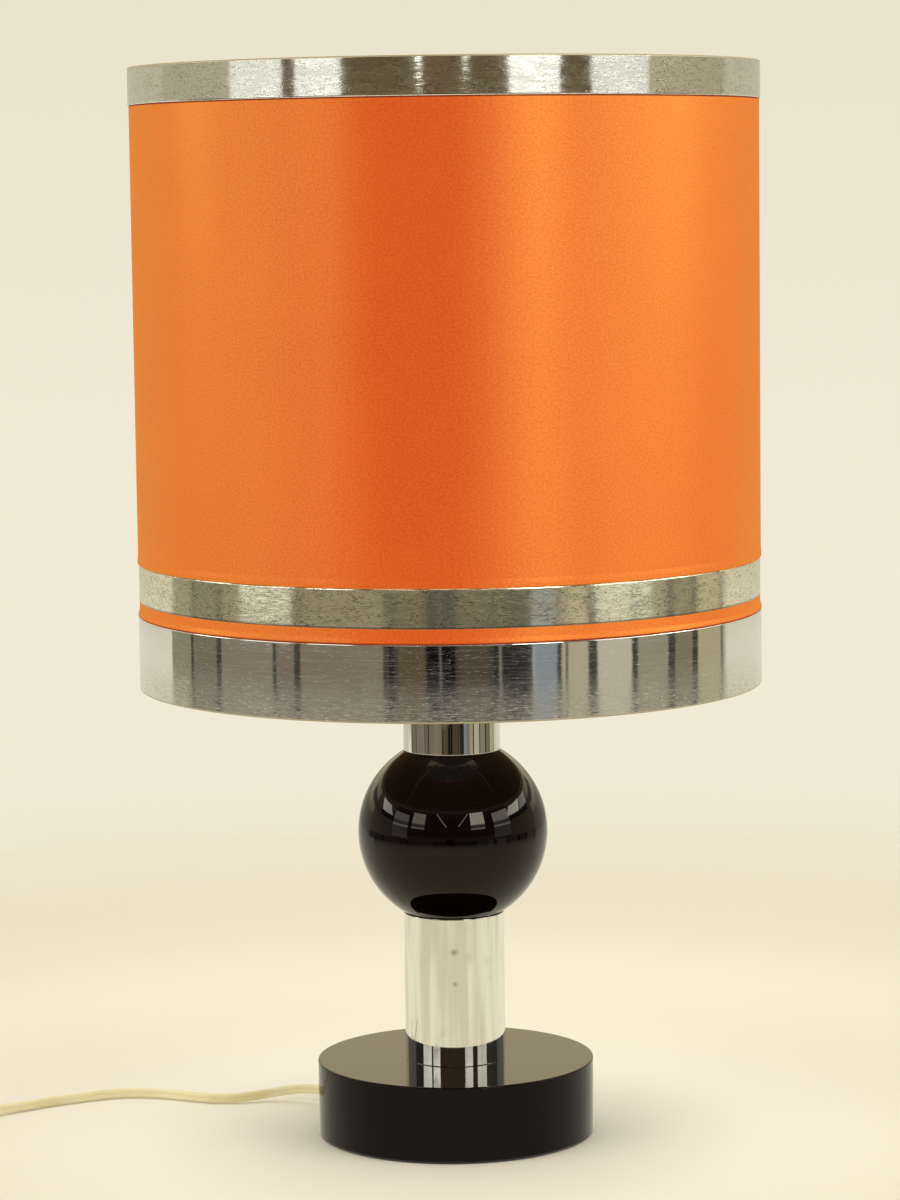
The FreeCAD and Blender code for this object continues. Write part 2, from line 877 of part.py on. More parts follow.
def lapped(cover, radius, bottom, top):
    """A cover with the lap at the back, where its end lies over its start. The free edge stands proud,
    and the lap runs out to the cover's own radius."""
    half = math.degrees(lap_width / 2 / radius)
    plan = [
        (radius - lap_rise, lap_angle - half),
        (radius + lap_rise, lap_angle - half),
        (radius + lap_rise, lap_angle),
        (radius - lap_rise, lap_angle + 2 * half),
    ]
    corners = []
    for reach, angle in plan:
        turn = math.radians(angle)
        corners.append(V(reach * math.cos(turn), reach * math.sin(turn), bottom))
    strip = Part.Face(Part.makePolygon(corners + corners[:1])).extrude(V(0, 0, top - bottom))
    return cover.fuse(strip).removeSplitter()


def band(radius, bottom, top):
    """Foil band with its two outer edges rolled round."""
    edge = rolled_edge
    low = (radius - edge, bottom + edge)
    high = (radius - edge, top - edge)
    cover = turned(
        (cover_inner_radius, bottom),
        (radius - edge, bottom),
        (on_circle(low, edge, -45), (radius, bottom + edge)),
        (radius, top - edge),
        (on_circle(high, edge, 45), (radius - edge, top)),
        (cover_inner_radius, top),
    )
    return lapped(cover, radius, bottom + edge, top - edge)


def band_top():
    return band(panel_radius + top_band_proud, top_band_bottom, shade_top)


def band_bottom():
    return band(panel_radius + bottom_band_proud, shade_bottom, stripe_bottom - slip)


def band_middle():
    """Flat foil band whose upper edge lies under the hem of the main panel."""
    face = panel_radius - middle_band_set_back
    cover = ring(cover_inner_radius, face, middle_band_bottom + slip, main_panel_bottom + hem_overlap - slip)
    return lapped(cover, face, middle_band_bottom + slip, main_panel_bottom - slip)


def panel_main():
    """Fabric panel whose lower edge is rolled over the middle band."""
    hem = panel_radius + hem_proud
    under = panel_radius - middle_band_set_back + slip
    low = main_panel_bottom
    cover = turned(
        (cover_inner_radius, low + hem_overlap),
        (under, low + hem_overlap),
        (under, low),
        (hem - rolled_edge, low),
        (on_circle((hem - rolled_edge, low + rolled_edge), rolled_edge, -45), (hem, low + rolled_edge)),
        (panel_radius, low + hem_height),
        (panel_radius, top_band_bottom - slip),
        (cover_inner_radius, top_band_bottom - slip),
    )
    return lapped(cover, panel_radius, low + hem_height, top_band_bottom - slip)


def stripe():
    """Narrow fabric stripe that flares over the bottom band."""
    high = middle_band_bottom
    low = stripe_bottom
    face = panel_radius - stripe_set_back
    flare = panel_radius + stripe_flare
    cover = turned(
        (cover_inner_radius, low),
        (flare - rolled_edge, low),
        (on_circle((flare - rolled_edge, low + rolled_edge), rolled_edge, -45), (flare, low + rolled_edge)),
        (face + stripe_lean, low + stripe_flare_height),
        (face, high),
        (cover_inner_radius, high),
    )
    return lapped(cover, face + stripe_lean, low + stripe_flare_height, high)


def frame_ring(height):
    """Wire ring pressed against the inside of the liner."""
    return Part.makeTorus(frame_ring_radius, frame_wire_radius, V(0, 0, height))


def shade_ring_wire_top():
    return frame_ring(shade_top - frame_wire_inset)


def shade_ring_wire_bottom():
    return frame_ring(shade_bottom + frame_wire_inset)


def rim_tape(height, side):
    """Tape glued to the liner and wrapped round the wire ring, with the shade's inside above it
    (side 1) or below it (side -1)."""
    centre = (frame_ring_radius, height)
    near = frame_wire_radius + slip
    far = near + tape_thickness
    wall = liner_inner_radius - glue_gap
    lift = side * tape_height
    edge = side * (frame_wire_radius + tape_foot)
    start = 90 * side
    return turned(
        on_circle(centre, near, start),
        (on_circle(centre, near, 180), on_circle(centre, near, -start)),
        on_circle(centre, far, -start),
        (on_circle(centre, far, 180), on_circle(centre, far, 130 * side)),
        (wall - tape_thickness, height + edge),
        (wall - tape_thickness, height + lift),
        (wall, height + lift),
        (wall, height + edge - side * tape_fold),
    )


def rim_tape_top():
    return rim_tape(shade_top - frame_wire_inset, -1)


def rim_tape_bottom():
    return rim_tape(shade_bottom + frame_wire_inset, 1)


def fitter_ring():
    """Flat ring that sits on the lampholder's shoulder."""
    return ring(fitter_hole_radius, fitter_outer_radius, fitter_bottom, fitter_top)


def shade_spokes():
    """Wires from under the fitter ring out to the shade's wall and down to the bottom ring."""
    bend = spoke_bend_radius
    foot = shade_bottom + frame_wire_inset
    start = V(spoke_start_radius, 0, spoke_level)
    turn_in = V(spoke_leg_radius - bend, 0, spoke_level)
    turn_out = V(spoke_leg_radius, 0, spoke_level - bend)
    half_way = bend * math.sqrt(0.5)
    middle = V(turn_in.x + half_way, 0, turn_out.z + half_way)
    path = Part.Wire([
        Part.LineSegment(start, turn_in).toShape(),
        Part.Arc(turn_in, middle, turn_out).toShape(),
        Part.LineSegment(turn_out, V(spoke_leg_radius, 0, foot)).toShape(),
    ])
    section = Part.Wire([Part.Circle(start, V(1, 0, 0), spoke_radius).toShape()])
    spoke = path.makePipeShell([section], True, False)
    step = 360 / spoke_count
    return Part.makeCompound([placed(spoke, first_spoke_angle + step * i, 0, 0) for i in range(spoke_count)])


# Cord


def corner_arc(before, corner, after, reach):
    """The arc that rounds a corner of a route, and its radius. It touches both runs at the same
    reach from the corner."""
    back = (before - corner).normalize()
    ahead = (after - corner).normalize()
    half_turn = (math.pi - back.getAngle(ahead)) / 2
    radius = reach / math.tan(half_turn)
    to_centre = (back + ahead).normalize()
    middle = corner + to_centre * (radius / math.cos(half_turn) - radius)
    return Part.Arc(corner + back * reach, middle, corner + ahead * reach).toShape(), radius


def tube(edges, diameter, name):
    """A tube along a row of edges, with its volume compared with its section times its length."""
    path = Part.Wire(edges)
    start = path.OrderedVertexes[0].Point
    first = path.OrderedEdges[0]
    section = Part.Wire([Part.Circle(start, first.tangentAt(first.FirstParameter), diameter / 2).toShape()])
    solid = path.makePipeShell([section], True, False)
    expected = math.pi * (diameter / 2) ** 2 * path.Length
    print(f"{name}: length {path.Length:.0f}, volume {solid.Volume / expected:.4f} of section times length")
    return solid


def route_tube(route, name, diameter=cord_diameter, bend=None):
    """A tube along straight runs whose corners are rounded by arcs as large as the runs allow, or by
    arcs of one given radius."""
    points = [V(*p) for p in route]
    edges = []
    radii = []
    here = points[0]
    for before, corner, after in zip(points, points[1:], points[2:]):
        shorter = min((corner - before).Length, (after - corner).Length)
        reach = corner_share * shorter
        if bend:
            half_turn = (math.pi - (before - corner).getAngle(after - corner)) / 2
            reach = bend * math.tan(half_turn)
        arc, radius = corner_arc(before, corner, after, reach)
        radii.append(radius)
        edges.append(Part.LineSegment(here, arc.Vertexes[0].Point).toShape())
        edges.append(arc)
        here = arc.Vertexes[-1].Point
    edges.append(Part.LineSegment(here, points[-1]).toShape())
    print(f"{name}: radii " + ", ".join(f"{radius:.0f}" for radius in radii))
    return tube(edges, diameter, name)


def cord_inner():
    """The cord inside the lamp: through the bushing, over the board and up the rod to the terminals."""
    route = [
        tuple(sleeve_end),
        tuple(exit_direction * inner_cord_level + UP * cord_exit_height),
        tuple(exit_direction * inner_cord_floor_start + UP * inner_cord_low),
        (0, 0, inner_cord_low),
        (0, 0, core_bottom - terminal_head_height),
    ]
    return route_tube(route, "cord_inner", bend=inner_cord_bend)


def in_switch(x, y=0.0):
    """A place on the switch's long axis, and beside it, in the lamp's frame."""
    turn = math.radians(switch_heading)
    return (switch_centre[0] + x * math.cos(turn) - y * math.sin(turn),
            switch_centre[1] + x * math.sin(turn) + y * math.cos(turn))


def cord_free():
    """From the bushing to the switch."""
    start = [tuple(sleeve_end), tuple(sleeve_end + exit_direction * cord_lead)]
    end = [in_switch(x) + (switch_parting,) for x in (-switch_length / 2 - cord_lead, -switch_length / 2)]
    return route_tube(start + free_route + end, "cord_free")


def coil_point(turns):
    """The coil's centre line after so many turns. It spirals in on the lower layer, climbs to the upper
    one in the half turn where it reverses, and spirals out again, clockwise seen from above."""
    inward = coil_turns_per_layer
    outward = inward + coil_climb_turns
    inner = coil_middle_radius - coil_pitch * inward / 2
    if turns < inward:
        radius = inner + coil_pitch * (inward - turns)
        layer = 0.0
    elif turns < outward:
        part = (turns - inward) / coil_climb_turns
        radius = inner - coil_pitch * coil_climb_turns * part * (1 - part)
        layer = part * part * (3 - 2 * part)
    else:
        radius = inner + coil_pitch * (turns - outward)
        layer = 1.0
    angle = math.radians(coil_lead_angle) - 2 * math.pi * turns
    return V(coil_centre[0] + radius * math.cos(angle),
             coil_centre[1] + radius * math.sin(angle),
             floor_height + coil_pitch * layer)


def coil_heading(turns):
    step = 1e-4
    return (coil_point(turns + step) - coil_point(turns - step)).normalize()


def biarc(start, start_heading, end, end_heading):
    """Two arcs that join two points and leave and reach them along the given headings."""
    chord = end - start
    headings = start_heading + end_heading
    bend = 2 * (1 - start_heading.dot(end_heading))
    along = chord.dot(headings)
    reach = (-along + math.sqrt(along ** 2 + bend * chord.dot(chord))) / bend
    first_corner = start + start_heading * reach
    second_corner = end - end_heading * reach
    middle = (first_corner + second_corner) / 2
    first_arc = corner_arc(start, first_corner, middle, reach)[0]
    second_arc = corner_arc(middle, second_corner, end, reach)[0]
    return [first_arc, second_arc]


coil_turns = 2 * coil_turns_per_layer + coil_climb_turns
coil_start = coil_point(0) - coil_heading(0) * cord_diameter
coil_end = coil_point(coil_turns) + coil_heading(coil_turns) * cord_diameter


def coil_gap():
    """Least gap between two stretches of the coil that lie over half a turn apart."""
    per_turn = 72
    points = [coil_point(i / per_turn) for i in range(int(coil_turns * per_turn) + 1)]
    least = min((points[i] - points[j]).Length
                for i in range(len(points)) for j in range(i + per_turn // 2, len(points)))
    return least - cord_diameter


def cord_coil():
    """One unbroken tube with its loops on two layers and a straight end at each side."""
    steps = int(round(coil_turns * 4))
    edges = [Part.LineSegment(coil_start, coil_point(0)).toShape()]
    for i in range(steps):
        now, then = i / 4, (i + 1) / 4
        edges += biarc(coil_point(now), coil_heading(now), coil_point(then), coil_heading(then))
    edges.append(Part.LineSegment(coil_point(coil_turns), coil_end).toShape())
    print(f"cord_coil: least gap to itself {coil_gap():.2f}")
    return tube(edges, cord_diameter, "cord_coil")


def cord_link():
    """From the switch to the coil."""
    start = [in_switch(x) + (switch_parting,) for x in (switch_length / 2, switch_length / 2 + far_cord_lead)]
    end = [tuple(coil_start - coil_heading(0) * far_cord_lead), tuple(coil_start)]
    return route_tube(start + link_route + end, "cord_link")


def in_plug(x):
    """A place on the plug's axis, counted from the end where the cord goes in."""
    turn = math.radians(plug_heading)
    return (plug_cord_end[0] + x * math.cos(turn), plug_cord_end[1] + x * math.sin(turn))


def cord_tail():
    """From the coil to the plug."""
    start = [tuple(coil_end), tuple(coil_end + coil_heading(coil_turns) * far_cord_lead)]
    end = [in_plug(x) + (plug_thickness / 2,) for x in (-far_cord_lead, 0)]
    return route_tube(start + tail_route + end, "cord_tail")


# Switch in the cord, drawn along X with its underside at height 0


def in_place_switch(shape):
    return placed(shape, switch_heading, switch_centre[0], switch_centre[1])


def switch_plan(inset, bottom, height):
    """The switch's plan, drawn in by an inset, as a block: flat flanks that curve to narrow ends."""
    half = switch_length / 2 - inset
    end = switch_end_width / 2 - inset
    side = switch_width / 2 - inset
    shoulder = switch_shoulder - inset / 2
    bow = ((shoulder + half) / 2 + switch_bow[0], (side + end) / 2 + switch_bow[1])
    edges = []
    for x, y in ((1, 1), (1, -1), (-1, -1), (-1, 1)):
        flank_end = V(x * shoulder, y * side, bottom)
        tip = V(x * half, y * end, bottom)
        through = V(x * bow[0], y * bow[1], bottom)
        edges.append(Part.Arc(flank_end, through, tip).toShape())
    for s in (1, -1):
        flank = (V(-shoulder, s * side, bottom), V(shoulder, s * side, bottom))
        tip = (V(s * half, -end, bottom), V(s * half, end, bottom))
        edges.append(Part.LineSegment(*flank).toShape())
        edges.append(Part.LineSegment(*tip).toShape())
    return Part.Face(Part.Wire(Part.__sortEdges__(edges))).extrude(UP * height)


def rounded_block(block, level):
    """The block with the edges of its face at one height rounded."""
    rim = [edge for edge in block.Edges
           if all(abs(v.Point.z - level) < 1e-6 for v in edge.Vertexes)]
    return block.makeFillet(switch_edge_radius, rim)


def switch_bores():
    """Holes at both ends for the cord."""
    reach = switch_length / 2 - switch_shoulder
    return [Part.makeCylinder(cord_radius + slip, reach, V(x, 0, switch_parting), V(1, 0, 0))
            for x in (-switch_length / 2, switch_shoulder)]


def switch_posts(bottom, top, radius):
    return [Part.makeCylinder(radius, top - bottom, V(x, y, bottom), UP) for x, y in switch_screw_places]


def switch_lower():
    """Lower shell with a rounded underside edge, two screw posts and recesses for the heads."""
    block = rounded_block(switch_plan(0, 0, switch_parting - switch_seam), 0)
    hollow = switch_plan(switch_wall, switch_wall, switch_height)
    shell = block.cut(hollow)
    shell = shell.fuse(switch_posts(switch_wall / 2, switch_parting - switch_seam, switch_post_radius))
    head = switch_screw_recess + switch_screw_head_height + slip
    recesses = switch_posts(-overcut, head, switch_screw_head_radius + slip)
    bores = switch_posts(-overcut, switch_height, switch_screw_radius + slip)
    return shell.cut(switch_bores() + recesses + bores)


def switch_upper():
    """Upper shell with the rocker's window, a boss at each end of the pin and two screw posts."""
    height = switch_height - switch_parting - switch_seam
    bottom = switch_parting + switch_seam
    block = rounded_block(switch_plan(0, bottom, height), switch_height)
    hollow = switch_plan(switch_wall, 0, switch_height - switch_wall)
    shell = block.cut(hollow)
    ceiling = switch_height - switch_wall / 2
    boss_bottom = pivot_height - pivot_boss_drop
    bosses = []
    for side in (-1, 1):
        inner = window_width / 2 + free
        near = inner if side > 0 else -inner - pivot_boss_width
        bosses.append(Part.makeBox(2 * pivot_boss_half_length, pivot_boss_width, ceiling - boss_bottom,
                                   V(-pivot_boss_half_length, near, boss_bottom)))
    shell = shell.fuse(bosses + switch_posts(bottom, ceiling, switch_post_radius))
    window = Part.makeBox(window_length, window_width, switch_height,
                          V(-window_length / 2, -window_width / 2, pivot_height))
    pin_hole = Part.makeCylinder(pivot_diameter / 2 + press_play, switch_width - 2 * switch_wall,
                                 V(0, -switch_width / 2 + switch_wall, pivot_height), V(0, 1, 0))
    screw_holes = switch_posts(0, switch_post_end, switch_screw_radius + slip)
    return shell.cut(switch_bores() + screw_holes + [window, pin_hole])


def switch_rocker():
    """Rocker with round end faces about its pin and a shallow valley, resting on its off side."""
    centre = (0, pivot_height)
    r = rocker_end_radius
    bottom = on_circle(centre, r, rocker_bottom_angle)
    top = on_circle(centre, r, rocker_top_angle)
    middle = on_circle(centre, r, (rocker_top_angle + rocker_bottom_angle) / 2)
    hub = rocker_hub_radius
    side = outline(
        (0, pivot_height + rocker_valley),
        top,
        (middle, bottom),
        (hub, bottom[1]),
        ((0, pivot_height - hub), (-hub, bottom[1])),
        (-bottom[0], bottom[1]),
        ((-middle[0], middle[1]), (-top[0], top[1])),
    )
    body = side.extrude(V(0, rocker_width, 0))
    body.translate(V(0, -rocker_width / 2, 0))
    bore = Part.makeCylinder(pivot_diameter / 2 + pin_play, rocker_width + 2 * overcut,
                             V(0, -rocker_width / 2 - overcut, pivot_height), V(0, 1, 0))
    body = body.cut(bore)
    body.rotate(V(0, 0, pivot_height), V(0, 1, 0), -rocker_throw / 2)
    return body


def switch_pin():
    """Pin through the rocker, held at both ends by the upper shell's bosses."""
    start = V(0, -pivot_length / 2, pivot_height)
    return Part.makeCylinder(pivot_diameter / 2, pivot_length, start, V(0, 1, 0))


def switch_contacts():
    """Two terminal blocks and the contact leaf on the floor between them."""
    length, width, height = terminal_block
    solids = []
    for side in (-1, 1):
        place = V(side * terminal_block_place - length / 2, -width / 2, switch_wall + slip)
        block = Part.makeBox(length, width, height, place)
        hole_start = place + V(length / 2, width / 2, height / 2)
        hole = Part.makeCylinder(terminal_block_hole, height, hole_start, UP)
        solids.append(block.cut(hole))
    leaf = outline(
        (-leaf_length / 2, switch_wall + slip),
        (leaf_length / 2, switch_wall + slip),
        (leaf_length / 2, switch_wall + slip + leaf_thickness),
        (0, switch_wall + slip + 2 * leaf_thickness + leaf_gap),
        (-leaf_length / 2, switch_wall + slip + leaf_thickness),
    ).extrude(V(0, leaf_width, 0))
    leaf.translate(V(0, -leaf_width / 2, 0))
    return Part.makeCompound(solids + [leaf])


def switch_screws():
    screws = []
    for x, y in switch_screw_places:
        place = V(x, y, switch_screw_recess)
        head = Part.makeCylinder(switch_screw_head_radius, switch_screw_head_height, place, UP)
        slot = Part.makeBox(2 * switch_screw_head_radius, switch_screw_slot, switch_screw_slot,
                            place - V(switch_screw_head_radius, switch_screw_slot / 2, 0))
        shank = Part.makeCylinder(switch_screw_radius, switch_screw_length, place, UP)
        screws.append(head.fuse(shank).cut(slot))
    return Part.makeCompound(screws)


# Plug, drawn along X from the cord's end to the tips of the pins


def rounded_section(x, width, thickness, corner):
    """A rounded rectangle across the plug."""
    y, z, r = width / 2, thickness / 2, corner
    k = r * (1 - math.sqrt(0.5))
    edges = []
    for sy, sz in ((1, 1), (1, -1), (-1, -1), (-1, 1)):
        edges.append(Part.Arc(V(x, sy * y, sz * (z - r)), V(x, sy * (y - k), sz * (z - k)),
                              V(x, sy * (y - r), sz * z)).toShape())
    for s in (1, -1):
        edges.append(Part.LineSegment(V(x, -y + r, s * z), V(x, y - r, s * z)).toShape())
        edges.append(Part.LineSegment(V(x, s * y, -z + r), V(x, s * y, z - r)).toShape())
    return Part.Wire(Part.__sortEdges__(edges))


def in_place_plug(shape):
    return placed(shape, plug_heading, plug_cord_end[0], plug_cord_end[1], plug_thickness / 2)


PIN_SIDES = (-plug_pin_spacing / 2, plug_pin_spacing / 2)


def plug_pin_rod(y, diameter, near, far):
    """A rod on one pin's axis, between two distances from the front of the plug's body."""
    front = plug_relief_length + plug_body_length
    return Part.makeCylinder(diameter / 2, far - near, V(front + near, y, 0), V(1, 0, 0))


def plug_body():
    """Moulded body: a slim strain relief, a neck, a waist, the flat front that meets the socket and an
    insulating sleeve round the root of each pin."""
    neck = plug_relief_length
    front = neck + plug_body_length
    sections = [
        rounded_section(0, plug_tail_size, plug_tail_size, plug_tail_corner),
        rounded_section(neck, plug_neck_size, plug_neck_size, plug_neck_corner),
        rounded_section(neck + plug_waist_place, plug_waist_width, plug_waist_thickness, plug_neck_corner),
        rounded_section(neck + plug_shoulder_place, plug_width, plug_thickness, plug_corner_radius),
        rounded_section(front, plug_width, plug_thickness, plug_corner_radius),
    ]
    body = Part.makeLoft(sections, True, True)
    sleeves = [plug_pin_rod(y, plug_sleeve_diameter, -plug_pin_seat, plug_sleeve_length - slip)
               for y in PIN_SIDES]
    holes = [plug_pin_rod(y, plug_pin_core_diameter + 2 * press_play, -plug_pin_seat, plug_sleeve_length + overcut)
             for y in PIN_SIDES]
    return body.fuse(sleeves).cut(holes).removeSplitter()


def plug_pins():
    """Round pins with rounded tips. A thinner core sits in the body and in the insulating sleeve."""
    tip = plug_relief_length + plug_body_length + plug_pin_length
    pins = []
    for y in PIN_SIDES:
        core = plug_pin_rod(y, plug_pin_core_diameter, -plug_pin_seat, plug_sleeve_length)
        contact = plug_pin_rod(y, plug_pin_diameter, plug_sleeve_length, plug_pin_length)
        far = [edge for edge in contact.Edges if abs(edge.CenterOfMass.x - tip) < 1e-3]
        pins.append(contact.makeFillet(plug_pin_tip, far).fuse(core))
    return Part.makeCompound(pins)


SWITCH_PIECES = (switch_lower, switch_upper, switch_rocker, switch_pin, switch_contacts, switch_screws)
PLUG_PIECES = (plug_body, plug_pins)
LAMP_PIECES = (
    base_cover, base_weight, base_board, base_felt, cord_bushing, rod_washer, rod_nut,
    threaded_rod, column_tube, column_cup_lower, column_cup_upper, globe_seat_lower, globe, globe_seat_upper,
    neck_cup, neck_tube, neck_cap, lock_nut,
    holder_cap, holder_grub_screw, holder_sleeve, holder_core, holder_shell, holder_contact, terminal_screws,
    shade_ring,
    bulb_glass, bulb_cap, bulb_insulator, bulb_foot, bulb_stem, bulb_filament,
    shade_liner, band_top, panel_main, band_middle, stripe, band_bottom,
    shade_ring_wire_top, shade_ring_wire_bottom, rim_tape_top, rim_tape_bottom, fitter_ring, shade_spokes,
    cord_inner, cord_free, cord_link, cord_coil, cord_tail,
)


def main():
    os.makedirs("parts", exist_ok=True)
    for piece in LAMP_PIECES:
        piece().exportStep(f"parts/{piece.__name__}.step")
    for piece in SWITCH_PIECES:
        in_place_switch(piece()).exportStep(f"parts/{piece.__name__}.step")
    for piece in PLUG_PIECES:
        in_place_plug(piece()).exportStep(f"parts/{piece.__name__}.step")


main()
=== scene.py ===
# %% [markdown]
# This script dresses a table lamp for a portrait. The lamp's solids come from a packed
# construction model, the frame. They hold every size and every moving part, so nothing here
# moves or resizes them. What this script adds is the skin that the eye sees: smooth turned
# surfaces, a cord at its real length, and a finish for each material.

# %% Load the frame
import json
import math

import bpy
import numpy as np
from mathutils import Matrix, Vector


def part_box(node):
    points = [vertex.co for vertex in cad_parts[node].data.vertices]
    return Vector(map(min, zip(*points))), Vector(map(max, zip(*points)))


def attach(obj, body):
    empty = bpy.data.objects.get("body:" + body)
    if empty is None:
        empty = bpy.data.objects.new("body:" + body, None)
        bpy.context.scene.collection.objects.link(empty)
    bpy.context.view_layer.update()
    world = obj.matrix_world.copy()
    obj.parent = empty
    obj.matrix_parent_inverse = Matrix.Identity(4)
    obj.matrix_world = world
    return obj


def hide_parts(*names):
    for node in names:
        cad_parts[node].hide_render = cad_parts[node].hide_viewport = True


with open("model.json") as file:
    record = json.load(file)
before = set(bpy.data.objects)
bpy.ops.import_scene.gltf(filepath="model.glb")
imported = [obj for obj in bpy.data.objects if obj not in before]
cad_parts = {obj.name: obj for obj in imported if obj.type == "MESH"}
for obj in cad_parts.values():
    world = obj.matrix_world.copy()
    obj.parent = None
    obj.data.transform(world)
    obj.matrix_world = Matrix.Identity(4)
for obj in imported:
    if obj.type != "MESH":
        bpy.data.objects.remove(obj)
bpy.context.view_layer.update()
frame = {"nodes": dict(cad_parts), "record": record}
bpy.context.scene.view_settings.view_transform = "Standard"
mm = 0.001


def foot_of(node):
    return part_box(node)[0].z


def top_of(node):
    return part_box(node)[1].z


def radius_of(node):
    """The reach to the right of a solid that is turned about the lamp's axis."""
    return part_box(node)[1].x


# %% [markdown]
# The camera comes first, because the cord's put-away length has to lie outside its view. A
# portrait photograph is a long lens far away. The numbers below were found by fitting the
# lamp's known rings to their outlines in the picture: distance, height, a slight downward
# pitch and a slight lean of the camera.

# %% Camera
picture_height_pixels = 1200
focal_pixels = 3819.0
camera_distance = 2.1435
camera_height = 0.5381
camera_pitch = 0.1082
camera_lean = 0.0125
sensor_width = 36.0


def make_camera():
    """The right, up and back directions of the camera are the columns of its matrix. The lean
    turns right and up about the line of sight."""
    ahead = Vector((0, math.cos(camera_pitch), -math.sin(camera_pitch)))
    level_right = Vector((1, 0, 0))
    level_up = level_right.cross(ahead)
    up = level_up * math.cos(camera_lean) + level_right * math.sin(camera_lean)
    right = ahead.cross(up)
    data = bpy.data.cameras.new("camera")
    data.sensor_width = sensor_width
    data.lens = focal_pixels * sensor_width / picture_height_pixels
    data.clip_end = 100
    camera = bpy.data.objects.new("camera", data)
    turn = Matrix((right, up, -ahead)).transposed().to_4x4()
    camera.matrix_world = Matrix.Translation((0, -camera_distance, camera_height)) @ turn
    bpy.context.scene.collection.objects.link(camera)
    bpy.context.scene.camera = camera
    print("lens:", round(data.lens, 1), "mm")


make_camera()

# %% [markdown]
# Every new piece is a grid of points worked out by numpy: rows go along a profile, columns go
# round or along a path. One function turns such a grid into a mesh with smooth faces and a UV
# map in metres, so that a pattern keeps its real size on every piece.

# %% Grids to meshes
def mesh_piece(name, points, faces, uvs, material=None):
    """Vertices, faces and one UV pair per face corner, as a smooth mesh at the origin."""
    mesh = bpy.data.meshes.new(name)
    mesh.from_pydata(points.reshape(-1, 3).tolist(), [], faces)
    layer = mesh.uv_layers.new(name="metres")
    layer.data.foreach_set("uv", np.asarray(uvs, np.float32).ravel())
    mesh.shade_smooth()
    mesh.validate()
    piece = bpy.data.objects.new(name, mesh)
    if material:
        mesh.materials.append(material)
    bpy.context.scene.collection.objects.link(piece)
    return piece


def running_length(points):
    """Distance along a row of points, starting at 0."""
    steps = np.linalg.norm(np.diff(points, axis=0), axis=1)
    return np.concatenate([[0.0], np.cumsum(steps)])


# %% [markdown]
# Most of this lamp is turned: shade, tubes, globe and base are all surfaces of revolution. A
# profile is a closed loop of radius and height. Its corners are rounded, and a guard point
# beside each rounding keeps the smooth shading off the flat stretches. That matters on mirror
# finishes, where a normal that leans by a degree shows as a bent reflection.

# %% Profiles
corner_steps = 5
guard = 0.25 * mm


def rounded_corner(before, corner, after, radius):
    """An arc that touches both sides of a corner, with a guard point at each end."""
    back = (before - corner) / np.linalg.norm(before - corner)
    ahead = (after - corner) / np.linalg.norm(after - corner)
    half = np.arccos(np.clip(back @ ahead, -1, 1)) / 2
    reach = radius / np.tan(half)
    centre = corner + (back + ahead) / np.linalg.norm(back + ahead) * radius / np.sin(half)
    start = corner + back * reach
    end = corner + ahead * reach
    swing = np.pi - 2 * half
    share = np.linspace(0, 1, corner_steps)[:, None]
    arc = (np.sin((1 - share) * swing) * (start - centre) + np.sin(share * swing) * (end - centre))
    arc = centre + arc / np.sin(swing)
    return np.vstack([start + back * guard, arc, end + ahead * guard])


def profile(*steps):
    """A closed outline. A step is (radius, height), with a rounding as third number if it has one."""
    corners = [np.array(step[:2], float) for step in steps]
    after = corners[1:] + corners[:1]
    rows = []
    for i, step in enumerate(steps):
        if len(step) == 3:
            rows.append(rounded_corner(corners[i - 1], corners[i], after[i], step[2]))
        else:
            rows.append(corners[i][None, :])
    return np.vstack(rows)


def arc(centre, radius, start, end, steps):
    """Points on a circle from one angle to another, in degrees, with 0 pointing out and 90 up."""
    turn = np.radians(np.linspace(start, end, steps))
    return np.stack([centre[0] + radius * np.cos(turn), centre[1] + radius * np.sin(turn)], axis=1)


def refined(loop, longest):
    """The same outline with more points, so that no step along it is longer than this."""
    closed = np.vstack([loop, loop[:1]])
    along = running_length(closed)
    wanted = np.union1d(along, np.arange(0, along[-1], longest))
    wanted = wanted[np.concatenate([[True], np.diff(wanted) > 1e-7])]
    rows = np.stack([np.interp(wanted, along, closed[:, k]) for k in (0, 1)], axis=1)
    return rows[:-1]


# %% Turned pieces
def even_angles(segments):
    """Angles once round, without the last one, which is the first."""
    return 2 * np.pi * np.arange(segments) / segments


def turned(name, loop, angles=even_angles(192), closed=True, ripple=None):
    """Point (i, j) is profile point i turned to angle j about the lamp's axis. A point on the axis is
    one vertex. A ripple adds to the radius a function of angle, radius and height."""
    rows, segments = len(loop), len(angles)
    radius = np.repeat(loop[:, :1], segments, axis=1)
    height = np.repeat(loop[:, 1:], segments, axis=1)
    if ripple:
        radius = radius + ripple(angles[None, :], radius, height)
    grid = np.stack([radius * np.cos(angles), radius * np.sin(angles), height], axis=-1)
    counts = np.where(loop[:, 0] < 1e-7, 1, segments)
    starts = np.concatenate([[0], np.cumsum(counts)[:-1]])
    points = np.vstack([grid[i, :counts[i]] for i in range(rows)])
    along = running_length(np.vstack([loop, loop[:1]]))
    round_place = np.append(angles, angles[0] + 2 * np.pi) * loop[:, 0].max()
    j = np.arange(segments)
    faces, uvs = [], []
    for i in range(rows if closed else rows - 1):
        corners = [(i, j), (i, j + 1), (i + 1, j + 1), (i + 1, j)]
        if counts[(i + 1) % rows] == 1:
            del corners[3]
        if counts[i] == 1:
            del corners[1]
        if len(corners) < 3:
            continue
        numbers = [starts[row % rows] + turn % counts[row % rows] for row, turn in corners]
        places = [np.stack([round_place[turn], along[row] + 0 * turn], axis=1) for row, turn in corners]
        faces += np.stack(numbers, axis=1).tolist()
        uvs += np.stack(places, axis=1).reshape(-1, 2).tolist()
    return mesh_piece(name, points, faces, uvs)


